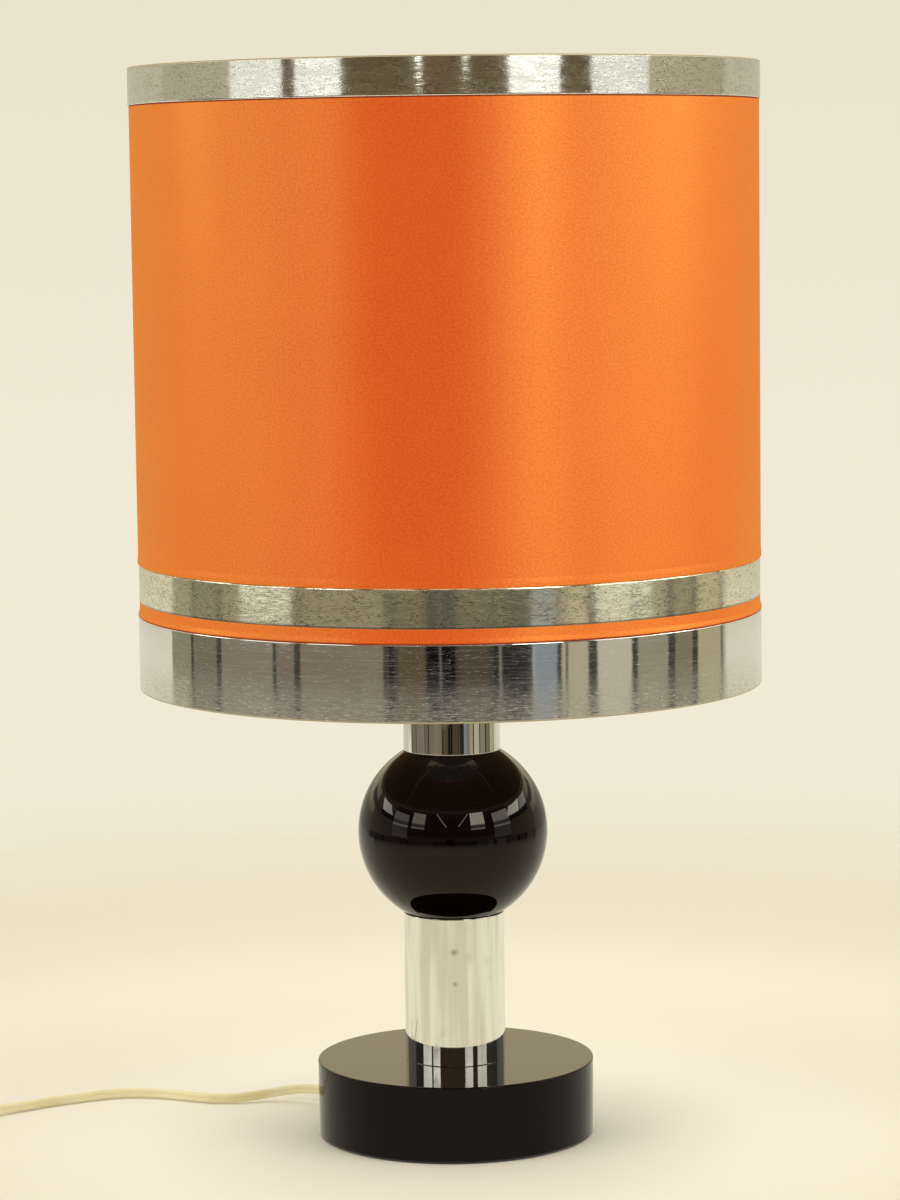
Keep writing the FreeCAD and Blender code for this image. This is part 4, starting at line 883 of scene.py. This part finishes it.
def chrome_finish():
    """Polished plating over a drawn tube: faint upright waviness, dull smears from hands, and two
    tarnished spots."""
    finish = Finish("polished_chrome")
    draw_marks = finish.surface_noise(9, 150, 2.0)
    smears = finish.surface_noise(10, 14, 1.0)
    smear_mask = smears.step(0.55, 0.85)
    pits = finish.surface_noise(1.6, 1.6, 1.0).step(0.76, 0.80)
    plate = draw_marks.step(0.38, 0.62).blend((0.66, 0.635, 0.57), (0.84, 0.825, 0.785))
    tone = (smear_mask * 0.35).blend(plate, (0.60, 0.57, 0.50))
    tone = (pits * 0.7).blend(tone, (0.25, 0.20, 0.15))
    spots = 0.0
    for aside, height, size in tarnish_spots:
        sockets = {0: finish.place(), 1: (aside, -column_radius, height)}
        away = finish.node("ShaderNodeVectorMath", {"operation": "DISTANCE"}, sockets, "Value")
        spots = (away + smears * size).step(size * 1.5, size * 0.3) + spots
    tone = (spots * 0.7).blend(tone, (0.26, 0.22, 0.15))
    roughness = 0.035 + 0.16 * smear_mask + 0.2 * (pits + spots)
    return finish.skin(base_color=tone, metallic=1.0, roughness=roughness,
                       normal=finish.bump(draw_marks, 0.4, 0.2))


# %% [markdown]
# The globe and the base are black and glossy. Blown glass has slow ripples and a few grains of
# dust on its upper side. The base's lacquer has finer ripples, like the skin of an orange.

# %% Black glass and lacquer
def dust_on(finish, spacing):
    """Pale grains on the faces that point up."""
    rise = finish.node("ShaderNodeNewGeometry", output="Normal").part("Z")
    grains = finish.solid_noise(spacing, 1.0)
    return grains.step(0.74, 0.80) * rise.step(0.2, 0.8)


def globe_finish():
    """Black glass. Its reflections are a little warm."""
    finish = Finish("black_glass")
    ripple = finish.solid_noise(30, 1.0)
    dust = dust_on(finish, 1.1)
    tone = (dust * 0.5).blend((0.0024, 0.0010, 0.0007), (0.20, 0.17, 0.14))
    return finish.skin(base_color=tone, roughness=0.012 + 0.3 * dust, ior=1.52, specular_ior_level=0.24,
                       specular_tint=(1.0, 0.92, 0.78), normal=finish.bump(ripple, 0.5, 0.05))


def lacquer_finish():
    """Black lacquer, rubbed dull in clouds."""
    finish = Finish("black_lacquer")
    peel = finish.solid_noise(4, 2.0)
    dust = dust_on(finish, 1.3)
    rubbed = finish.solid_noise(20, 3.0)
    tone = (dust * 0.6).blend((0.0030, 0.0026, 0.0022), (0.28, 0.26, 0.22))
    return finish.skin(base_color=tone, roughness=0.045 + 0.05 * rubbed + 0.3 * dust, ior=1.5,
                       specular_ior_level=0.13, specular_tint=(1.0, 0.90, 0.72),
                       normal=finish.bump(peel, 0.08, 0.12))


# %% [markdown]
# Most of the construction's own pieces are inside the lamp or small. They keep their meshes, and
# each material slot gets a finish of its own here: plated and cast metal, moulded plastic, rubber,
# ceramic, glass, felt, board and woven tape.

# %% Plain metals
def metal_finish(name, tone, worn_tone, roughness, grain):
    """Metal with a fine directionless grain and a stain here and there."""
    finish = Finish(name)
    marks = finish.solid_noise(grain, 3.0, 0.65)
    stains = finish.solid_noise(12, 2.0)
    colour = stains.step(0.45, 0.75).blend(tone, worn_tone)
    return finish.skin(base_color=colour, metallic=1.0, roughness=roughness + 0.15 * marks,
                       normal=finish.bump(marks, 0.08, 0.35))


def cast_iron_finish():
    finish = Finish("cast_iron")
    sand = finish.solid_noise(1.2, 4.0, 0.7)
    colour = sand.blend((0.05, 0.05, 0.052), (0.13, 0.125, 0.12))
    return finish.skin(base_color=colour, metallic=0.7, roughness=0.6 + 0.2 * sand,
                       normal=finish.bump(sand, 0.3, 0.8))


# %% Plain plastics, rubber and ceramic
def plastic_finish(name, tone, second_tone, roughness, grain, depth, coat=0.0, glow=0.0):
    """A moulded surface: a fine spark-eroded grain and slow changes of gloss. Glow is the share of
    light that goes some millimetres into it."""
    finish = Finish(name)
    grains = finish.solid_noise(grain, 2.0)
    clouds = finish.solid_noise(15, 3.0)
    colour = clouds.blend(tone, second_tone)
    return finish.skin(base_color=colour, roughness=roughness + 0.12 * clouds, coat_weight=coat,
                       subsurface_weight=glow, subsurface_radius=(0.004, 0.002, 0.0008),
                       normal=finish.bump(grains, depth, 0.4))


# %% Fibres
def felt_finish():
    finish = Finish("black_felt")
    fibres = finish.solid_noise(0.9, 5.0, 0.8, 1.5)
    colour = fibres.blend((0.008, 0.008, 0.009), (0.045, 0.043, 0.042))
    return finish.skin(base_color=colour, roughness=0.95, sheen_weight=0.4, sheen_roughness=0.5,
                       normal=finish.bump(fibres, 0.6, 0.9))


def board_finish():
    finish = Finish("pressed_board")
    fibres = finish.solid_noise(1.4, 4.0, 0.7)
    colour = fibres.blend((0.16, 0.10, 0.05), (0.32, 0.21, 0.12))
    return finish.skin(base_color=colour, roughness=0.8, normal=finish.bump(fibres, 0.2, 0.6))


weave_pitch = 0.9 * mm


def tape_finish():
    """Cotton tape: two sets of waves, one round the shade and one along its axis, cross in a weave."""
    finish = Finish("cotton_tape")
    x, y, z = (finish.place().part(axis) for axis in "XYZ")
    round_place = finish.math("ARCTAN2", y, x) * radius_of("rim_tape_top")
    waves = [finish.math("SINE", along * (2 * math.pi / weave_pitch)) for along in (round_place, z)]
    weave = waves[0] * waves[1] * 0.5 + 0.5
    colour = weave.blend((0.72, 0.69, 0.60), (0.88, 0.86, 0.79))
    return finish.skin(base_color=colour, roughness=0.9, normal=finish.bump(weave, 0.15, 0.8))


def liner_finish():
    """The card inside the shade: matt, with a paper grain and slow clouds of tone. Its tan-brown colour is
    painted light and shade: it stands for the orange light that comes through the cloth, darkened for the
    dim inside of the shade.
    """
    finish = Finish("card_with_painted_glow")
    pulp = finish.solid_noise(2, 4.0, 0.6)
    clouds = finish.solid_noise(90, 3.0)
    # Painted glow and shade: the card's tan-brown stands for orange light through the cloth, darkened for
    # the dim inside.
    colour = clouds.blend((0.42, 0.25, 0.13), (0.50, 0.33, 0.20))
    colour = (pulp * 0.3).blend(colour, (0.40, 0.24, 0.12))
    return finish.skin(base_color=colour, roughness=0.75, subsurface_weight=0.1,
                       subsurface_radius=(0.004, 0.002, 0.001), normal=finish.bump(pulp, 0.1, 0.4))


# %% Glass
def clear_finish(name, tone, roughness, transmission):
    """Glass with a few fine bubbles."""
    finish = Finish(name)
    seeds = finish.solid_noise(6, 2.0)
    colour = seeds.blend(tone, tuple(0.96 * c for c in tone))
    return finish.skin(base_color=colour, roughness=roughness + 0.05 * seeds, ior=1.5,
                       transmission_weight=transmission, normal=finish.bump(seeds, 0.1, 0.05))


# %% Seats
def seat_finish():
    """The grimy ring between chrome and glass."""
    finish = Finish("grimy_seat")
    dirt = finish.solid_noise(3, 4.0, 0.7)
    colour = dirt.blend((0.012, 0.010, 0.008), (0.09, 0.065, 0.04))
    return finish.skin(base_color=colour, roughness=0.75, normal=finish.bump(dirt, 0.3, 0.8))


# %% One finish for each slot
# Each metal: the name of its material, its tone, its worn tone, its roughness and the size of its
# grain in millimetres, as in all these tables.
metals = {
    "plated_steel": ("zinc_plate", (0.58, 0.58, 0.56), (0.40, 0.38, 0.33), 0.28, 0.8),
    "brass": ("brass", (0.72, 0.52, 0.20), (0.45, 0.28, 0.10), 0.25, 1.0),
    "bulb_cap": ("pressed_cap", (0.76, 0.76, 0.74), (0.60, 0.59, 0.55), 0.22, 1.2),
    "solder": ("solder", (0.55, 0.55, 0.53), (0.45, 0.45, 0.43), 0.40, 1.5),
    "wire": ("drawn_wire", (0.45, 0.45, 0.45), (0.30, 0.28, 0.26), 0.30, 0.6),
    "pins": ("nickel", (0.70, 0.69, 0.66), (0.60, 0.58, 0.54), 0.18, 3.0),
}
golden = (0.42, 0.29, 0.07), (0.50, 0.36, 0.11)
# Each plastic, rubber or ceramic: the name of its material, its two tones, its roughness, the size
# and depth of its grain, then the shares of its gloss coat and of its inner glow, if it has them.
plastics = {
    "black_rubber": ("black_rubber", (0.015, 0.015, 0.015), (0.03, 0.029, 0.028), 0.55, 0.8, 0.1),
    "holder_black": ("black_moulding", (0.014, 0.014, 0.015), (0.024, 0.023, 0.022), 0.38, 0.7, 0.08),
    "ceramic": ("ceramic", (0.80, 0.78, 0.72), (0.86, 0.84, 0.79), 0.45, 1.2, 0.1),
    "bulb_insulator": ("vitrite", (0.008, 0.008, 0.008), (0.012, 0.012, 0.012), 0.12, 2, 0.05),
    "frame_wire": ("white_lacquer", (0.80, 0.78, 0.72), (0.85, 0.84, 0.80), 0.35, 2, 0.06),
    "switch_shell": ("golden_shell", *golden, 0.18, 0.6, 0.04, 0.5, 0.3),
    "switch_rocker": ("golden_rocker", (0.36, 0.24, 0.06), (0.42, 0.29, 0.08), 0.16, 0.6, 0.03),
    "plug": ("golden_moulding", *golden, 0.30, 0.6, 0.05, 0.3, 0.3),
}
# Each foil: its plain and its stained tone, its creases' pitch and depth, how dark the painted shade in its
# folds is, its roughness, whether it is frosted, and how much of it is matt.
foils = {
    "crinkled_foil": ((0.84, 0.83, 0.79), (0.79, 0.78, 0.73), 1.2, 0.014, 0.50, 0.055, 0, 0.0),
    "creased_foil": ((0.97, 0.93, 0.74), (0.90, 0.86, 0.66), 1.0, 0.030, 0.74, 0.085, 0, 0.10),
    "mirror_foil": ((0.86, 0.85, 0.81), (0.80, 0.79, 0.74), 1.3, 0.008, 0.0, 0.04, 1, 0.0),
}
silver, creased_foil, mirror_foil = (foil_finish(name, *look) for name, look in foils.items())
finishes = {
    **{slot: metal_finish(*look) for slot, look in metals.items()},
    **{slot: plastic_finish(*look) for slot, look in plastics.items()},
    "base_gloss": lacquer_finish(), "weight_iron": cast_iron_finish(), "board": board_finish(),
    "felt": felt_finish(), "chrome_tube": chrome_finish(), "seat_fibre": seat_finish(),
    "globe_glass": globe_finish(), "liner": liner_finish(), "orange_satin": satin_finish(),
    "tape": tape_finish(), "cord": golden_cord, "silver_foil": silver,
    "bulb_glass": clear_finish("frosted_glass", (0.93, 0.93, 0.91), 0.45, 0.25),
    "clear_glass": clear_finish("clear_glass", (0.95, 0.95, 0.95), 0.02, 0.9),
}


def dress_nodes():
    """Every node of the construction takes the finish of its own slot."""
    slots = {row["node"]: row["material_slot"] for row in frame["record"]["subparts"]}
    for name, node in frame["nodes"].items():
        for place in node.material_slots:
            place.material = finishes[slots[name]]
    print("finishes:", len(finishes), "for", len(slots), "nodes")


dress_nodes()

# %% [markdown]
# The base is a pressed cover: a flat top, a crisp turned edge, a straight wall, and felt below.
# The column and the neck are thin tubes whose rims are bevelled to the globe.

# %% Base
wall = 1.0 * mm
base_wall = 2.0 * mm
base_top = top_of("base_cover")
felt_top = top_of("base_felt")
felt_radius = radius_of("base_felt")
rod_hole = 5.2 * mm
edge_rounding = 0.8 * mm
small_rounding = 0.2 * mm


def base_pieces():
    """The cover is open below, round the felt."""
    inner = base_radius - base_wall
    cover = profile((inner, felt_top), (base_radius, felt_top, small_rounding),
                    (base_radius, base_top, edge_rounding), (rod_hole, base_top),
                    (rod_hole, base_top - base_wall), (inner, base_top - base_wall))
    dress(turned("base_shell", refined(cover, 12 * mm)), "lamp", "base_gloss", "base_cover")
    felt = profile((0.0, 0.0), (felt_radius, 0.0, small_rounding),
                   (felt_radius, felt_top, small_rounding), (0.0, felt_top))
    dress(turned("felt_pad", felt, closed=False), "lamp", "felt", "base_felt")


base_pieces()

# %% Globe and tubes
globe_radius = radius_of("globe")
globe_centre = (foot_of("globe") + top_of("globe")) / 2
globe_wall = 3.0 * mm
neck_radius = radius_of("neck_tube")
neck_top = top_of("neck_tube")
cap_top = top_of("neck_cap")
seat_thickness = 0.35 * mm
seat_rounding = 0.12 * mm
unevenness = 0.03 * mm


def globe_rise(radius):
    """Height of the sphere's surface above its centre at a distance from the axis."""
    return math.sqrt(globe_radius ** 2 - radius ** 2)


def globe_piece():
    """Outer arc up, inner arc down, meeting at the two holes for the rod."""
    outer_end = math.degrees(math.asin((globe_centre - foot_of("globe")) / globe_radius))
    inner_radius = globe_radius - globe_wall
    inner_end = math.degrees(math.acos(math.cos(math.radians(outer_end)) * globe_radius / inner_radius))
    outer = arc((0, globe_centre), globe_radius, -outer_end, outer_end, 97)
    inner = arc((0, globe_centre), inner_radius, inner_end, -inner_end, 33)
    shell = turned("globe_shell", np.vstack([outer, inner]), even_angles(256))
    dress(shell, "lamp", "globe_glass", "globe")


def tube_piece(name, radius, rim, plain_end, node):
    """A tube between a plain end and a rim that is bevelled to the globe."""
    inner = radius - wall
    bevel = (globe_rise(inner) - globe_rise(radius)) * (1 if rim > plain_end else -1)
    loop = [(inner, plain_end), (radius, plain_end, small_rounding), (radius, rim, small_rounding),
            (inner, rim - bevel)]
    if rim < plain_end:
        loop.reverse()
    dress(turned(name, refined(profile(*loop), 6 * mm)), "lamp", "chrome_tube", node)


def seat_piece(name, radius, side, node):
    """A ring squeezed between rim and glass, uneven round its edge with old polish and dust. Side is
    1 on the globe and -1 under it."""
    def squeezed(angle, reach, height):
        uneven = np.sin(7 * angle) + np.sin(17 * angle + 1) + np.sin(41 * angle + 2) + np.sin(67 * angle)
        return uneven * unevenness * (reach > radius - wall / 2)

    outer = globe_centre + side * globe_rise(radius)
    inner = globe_centre + side * globe_rise(radius - wall)
    thick = side * seat_thickness
    loop = [(radius - wall, inner + thick), (radius, outer + thick, seat_rounding),
            (radius, outer, seat_rounding), (radius - wall, inner)]
    if side > 0:
        loop.reverse()
    piece = turned(name, profile(*loop), even_angles(384), ripple=squeezed)
    dress(piece, "lamp", "seat_fibre", node)


def neck_lid():
    """A turned lid on the neck. A ring below it reaches into the tube."""
    register = neck_radius - wall
    drop = 3.0 * mm
    thick = 1.2 * mm
    loop = [(rod_hole, neck_top), (register - thick, neck_top), (register - thick, neck_top - drop),
            (register, neck_top - drop), (register, neck_top), (neck_radius, neck_top, small_rounding),
            (neck_radius, cap_top, 0.5 * mm), (rod_hole, cap_top)]
    dress(turned("neck_lid", profile(*loop)), "lamp", "chrome_tube", "neck_cap")


globe_piece()
tube_piece("column_chrome", column_radius, top_of("column_tube"), base_top, "column_tube")
tube_piece("neck_chrome", neck_radius, foot_of("neck_tube"), neck_top, "neck_tube")
seat_piece("lower_seat", column_radius, -1, "globe_seat_lower")
seat_piece("upper_seat", neck_radius, 1, "globe_seat_upper")
neck_lid()

# %% [markdown]
# Inside the shade sit a bulb and its holder. The bulb's glass is a ball that runs into a waist and
# a neck. The bulb's cap and the holder's barrel carry threads: a wave that climbs one pitch in each
# turn.

# %% Bulb
bulb_neck_radius = 14 * mm
bulb_wall = 1.0 * mm
waist_starts = math.radians(40)
cap_wall = 0.3 * mm
cap_slant = 2.2 * mm
neck_in_cap = 8 * mm
cap_gap = 0.05 * mm
cap_thread_pitch = 3.62 * mm
cap_thread_depth = 1.1 * mm
bulb_radius = radius_of("bulb_glass")
ball_centre = top_of("bulb_glass") - bulb_radius


def bulb_line(offset):
    """The glass from its top down to its neck, drawn in by an offset. The waist's circle touches
    both the ball and the neck's straight line."""
    ball = bulb_radius - offset
    neck = bulb_neck_radius - offset
    waist = (bulb_radius * math.cos(waist_starts) - bulb_neck_radius) / (1 - math.cos(waist_starts)) + offset
    join = (ball * math.cos(waist_starts), ball_centre - ball * math.sin(waist_starts))
    waist_centre = (neck + waist, join[1] - waist * math.sin(waist_starts))
    crown = arc((0, ball_centre), ball, 90, -math.degrees(waist_starts), 49)
    return np.vstack([crown, arc(waist_centre, waist, 180 - math.degrees(waist_starts), 180, 13)[1:]])


def thread(pitch, depth, low, high, fade):
    """A wave that climbs one pitch in each turn and fades out towards both ends."""
    def wave(angle, radius, height):
        shape = np.clip(1.3 * np.cos(angle - 2 * np.pi * height / pitch), -1, 1)
        ends = np.clip((height - low) / fade, 0, 1) * np.clip((high - height) / fade, 0, 1)
        return (shape - 1) / 2 * depth * ends
    return wave


def bulb_piece():
    """Glass with an inner face. Its neck is drawn in where it sits in the cap."""
    cap_rim = top_of("bulb_cap")
    seat = radius_of("bulb_cap") - cap_wall - cap_gap
    foot = cap_rim - neck_in_cap
    outer, inner = bulb_line(0.0), bulb_line(bulb_wall)
    mouth = inner[-1, 0] - bulb_wall
    neck = profile((outer[-1, 0], cap_rim + cap_gap), (seat, cap_rim + cap_gap), (seat, foot),
                   (mouth, foot), (mouth, cap_rim))
    loop = np.vstack([outer, neck, inner[::-1]])
    piece = turned("bulb_bowl", loop[::-1], even_angles(96), closed=False)
    dress(piece, "bulb", "bulb_glass", "bulb_glass")


def cap_piece():
    """The screw cap: thin metal, drawn in at its foot, with its thread rolled into it."""
    low, high, outer = foot_of("bulb_cap"), top_of("bulb_cap"), radius_of("bulb_cap")
    inner = outer - cap_wall
    loop = profile((outer - cap_slant, low), (outer, low + cap_slant), (outer, high), (inner, high),
                   (inner, low + cap_slant), (inner - cap_slant, low + cap_wall / 2))
    rolled_thread = thread(cap_thread_pitch, cap_thread_depth, low + cap_slant, high - 3 * mm, 1.5 * mm)
    piece = turned("screw_cap", refined(loop, 0.3 * mm), even_angles(96), ripple=rolled_thread)
    dress(piece, "bulb", "bulb_cap", "bulb_cap")


bulb_piece()
cap_piece()

# %% Lampholder
shoulder_height = 2.5 * mm
shoulder_rounding = 0.3 * mm
barrel_radius = 19.6 * mm
barrel_chamfer = 1.0 * mm
bore_radius = 15.5 * mm
mouth_radius = 15.0 * mm
mouth_lip = 1.5 * mm
ring_thread_pitch = 2.5 * mm
ring_thread_depth = 0.7 * mm


def holder_piece():
    """The lampholder's sleeve: a shoulder for the shade, and a barrel with a coarse thread."""
    low, high = foot_of("holder_sleeve"), top_of("holder_sleeve")
    shoulder_radius = radius_of("holder_sleeve")
    shoulder_top = low + shoulder_height
    loop = profile((bore_radius, low), (shoulder_radius, low, shoulder_rounding),
                   (shoulder_radius, shoulder_top, shoulder_rounding), (barrel_radius, shoulder_top),
                   (barrel_radius, high - barrel_chamfer), (barrel_radius - barrel_chamfer, high),
                   (mouth_radius, high, small_rounding), (mouth_radius, high - mouth_lip),
                   (bore_radius, high - mouth_lip))
    cut = thread(ring_thread_pitch, ring_thread_depth, shoulder_top + 1 * mm, high - barrel_chamfer, 1 * mm)

    def outside(angle, radius, height):
        return cut(angle, radius, height) * (radius > barrel_radius - 0.01 * mm) * (height > shoulder_top)

    piece = turned("holder_barrel", refined(loop, 0.35 * mm), even_angles(96), ripple=outside)
    dress(piece, "lamp", "holder_black", "holder_sleeve")


holder_piece()

# %% Cord bushing
bushing_bore = 3.0 * mm
bushing_barrel = 4.4 * mm
bushing_flange = 5.7 * mm
flange_thickness = 1.8 * mm
sleeve_radius = 5.0 * mm
tip_radius = 3.7 * mm
sleeve_grooves = 5
groove_depth = 0.45 * mm


def bushing_piece():
    """Turned about its own axis first: flange inside, flange outside, and a sleeve that tapers to
    the cord, with shallow grooves so that it bends. Then its axis is laid along the cord's exit."""
    inside = math.sqrt((base_radius - base_wall) ** 2 - bushing_flange ** 2) - 0.05 * mm
    outside = base_radius + flange_thickness
    tip = base_radius + sleeve_length
    loop = profile((bushing_bore, inside - flange_thickness),
                   (bushing_flange, inside - flange_thickness, 0.3 * mm), (bushing_flange, inside),
                   (bushing_barrel, inside), (bushing_barrel, base_radius),
                   (bushing_flange, base_radius), (bushing_flange, outside, 0.5 * mm),
                   (sleeve_radius, outside), (tip_radius, tip, 0.4 * mm), (bushing_bore, tip))

    def grooves(angle, radius, height):
        share = np.clip((height - outside) / (tip - outside), 0, 1)
        wave = np.clip(np.sin(2 * np.pi * sleeve_grooves * share) - 0.3, 0, 1)
        return -groove_depth * wave * (radius > bushing_bore + 0.2 * mm)

    piece = turned("bushing_sleeve", refined(loop, 0.4 * mm), even_angles(64), ripple=grooves)
    laid = Matrix.Rotation(exit_turn, 4, "Z") @ Matrix.Rotation(math.pi / 2, 4, "Y")
    piece.data.transform(Matrix.Translation((0, 0, exit_height)) @ laid)
    dress(piece, "lamp", "black_rubber", "cord_bushing")


bushing_piece()

# %% [markdown]
# The shade is card with five covers on it. Each cover ends in a lap at the back, where one end
# lies over the other and stands a third of a millimetre proud. Angles are packed closely there
# and evenly elsewhere, so that the small step keeps its crisp edge.

# %% Lap at the back
lap_angle = math.radians(90)
lap_width = 12.0 * mm
lap_rise = 0.35 * mm
shade_radius = radius_of("panel_main") - lap_rise
half_lap = lap_width / 2 / shade_radius
# Angles on both sides of a step: how near its edge stays crisp, and how far its shading is held.
crisp, calm = 0.00012, 0.0015
cover_depth = 0.9 * mm


def shade_angles(segments=256):
    """Even angles from the lap round to the lap, with extra ones at the lap's three edges."""
    edges = [lap_angle - half_lap, lap_angle, lap_angle + half_lap]
    extra = [edge + side for edge in edges for side in (-calm, -crisp, 0.0, crisp, calm)]
    even = [angle for angle in even_angles(segments) + lap_angle - np.pi
            if abs(angle - lap_angle) > 1.3 * half_lap and angle + 2 * np.pi > lap_angle]
    return np.sort(np.array(even + extra))


def lap(low, high):
    """The rise of the lap between two heights: full from its free edge to its middle, then falling
    evenly to nothing. The back of a cover stays where it is."""
    def rise(angle, radius, height):
        away = angle - lap_angle
        slope = np.clip((half_lap - away) / half_lap, 0, 1)
        on_lap = (away > -half_lap - crisp / 2) * (height > low) * (height < high)
        return lap_rise * slope * on_lap * (radius > shade_radius - cover_depth)
    return rise


# %% Foil bands
liner_radius = radius_of("shade_liner")
cover_back = liner_radius + 0.12 * mm
rolled = 0.5 * mm
step_height = 6 * mm
tuck = {"drop": 0.6 * mm, "bend": 1.2 * mm, "depth": 0.25 * mm, "rise": 0.1 * mm, "corner": 0.3 * mm}


def foil_band(name, stands, node, material, low_roll, high_roll, hem=None):
    """A band with two rolled edges. Under the hem of the cloth it turns in before it goes on up."""
    low, high = foot_of(node), top_of(node)
    radius = shade_radius + stands
    face = [(radius, low, low_roll)]
    if hem:
        face += [(radius, hem - tuck["drop"], tuck["bend"])]
        radius -= tuck["depth"]
        face += [(radius, hem + tuck["rise"], tuck["corner"])]
    loop = profile((cover_back, low), *face, (radius, high, high_roll), (cover_back, high))
    piece = turned(name, refined(loop, step_height), shade_angles(), ripple=lap(low - rolled, high + rolled))
    dress(piece, "shade", "silver_foil", node, material=material)


foil_band("top_foil", 0.5 * mm, "band_top", silver, 0.9 * mm, 0.4 * mm)
foil_band("middle_foil", -0.4 * mm, "band_middle", creased_foil, 0.1 * mm, 0.1 * mm, foot_of("panel_main"))
foil_band("bottom_foil", 0.3 * mm, "band_bottom", mirror_foil, rolled, rolled)

# %% Cloth covers
hem_stands = 0.35 * mm
hem_thins = 0.08 * mm
hem_height = 5 * mm
hem_overlap = 1.5 * mm
flare_stands = 0.6 * mm
flare_height = 3.2 * mm
stripe_sinks = 0.45 * mm
cloth_corner = 0.15 * mm


def cloth_piece(name, node, loop, step, lap_starts):
    """A cover of satin. Its lap begins above its rolled lower edge."""
    ripple = lap(foot_of(node) + lap_starts, top_of(node) - 0.01 * mm)
    piece = turned(name, refined(profile(*loop), step), shade_angles(), ripple=ripple)
    dress(piece, "shade", "orange_satin", node)


def panel_piece():
    """A plain cylinder whose lower edge is rolled: a bulge that fades out 5 mm up."""
    low, high = foot_of("panel_main"), top_of("panel_main")
    hem = shade_radius + hem_stands
    under = shade_radius - hem_stands
    loop = [(cover_back, low + hem_overlap), (under, low + hem_overlap), (under, low), (hem, low, rolled),
            (hem - hem_thins, low + 2.6 * mm, 2 * mm), (shade_radius, low + hem_height, 4 * mm),
            (shade_radius, high, cloth_corner), (cover_back, high)]
    cloth_piece("panel_cloth", "panel_main", loop, 8 * mm, hem_height)


def stripe_piece():
    """A narrow stripe that leans out and flares over the lowest band."""
    low, high = foot_of("stripe"), top_of("stripe")
    face = shade_radius - stripe_sinks
    loop = [(cover_back, low), (shade_radius + flare_stands, low, rolled),
            (face + 0.1 * mm, low + flare_height, 3 * mm), (face, high, cloth_corner), (cover_back, high)]
    cloth_piece("stripe_cloth", "stripe", loop, step_height, flare_height)


panel_piece()
stripe_piece()

# %% Liner
liner_thickness = 0.6 * mm
liner_rounding = 0.1 * mm


def liner_piece():
    """A thin sheet inside the covers, from rim to rim."""
    low, high = foot_of("shade_liner"), top_of("shade_liner")
    inner = liner_radius - liner_thickness
    loop = profile((inner, low), (liner_radius, low, liner_rounding),
                   (liner_radius, high, liner_rounding), (inner, high))
    dress(turned("liner_sheet", refined(loop, 20 * mm), even_angles(256)), "shade", "liner", "shade_liner")


liner_piece()
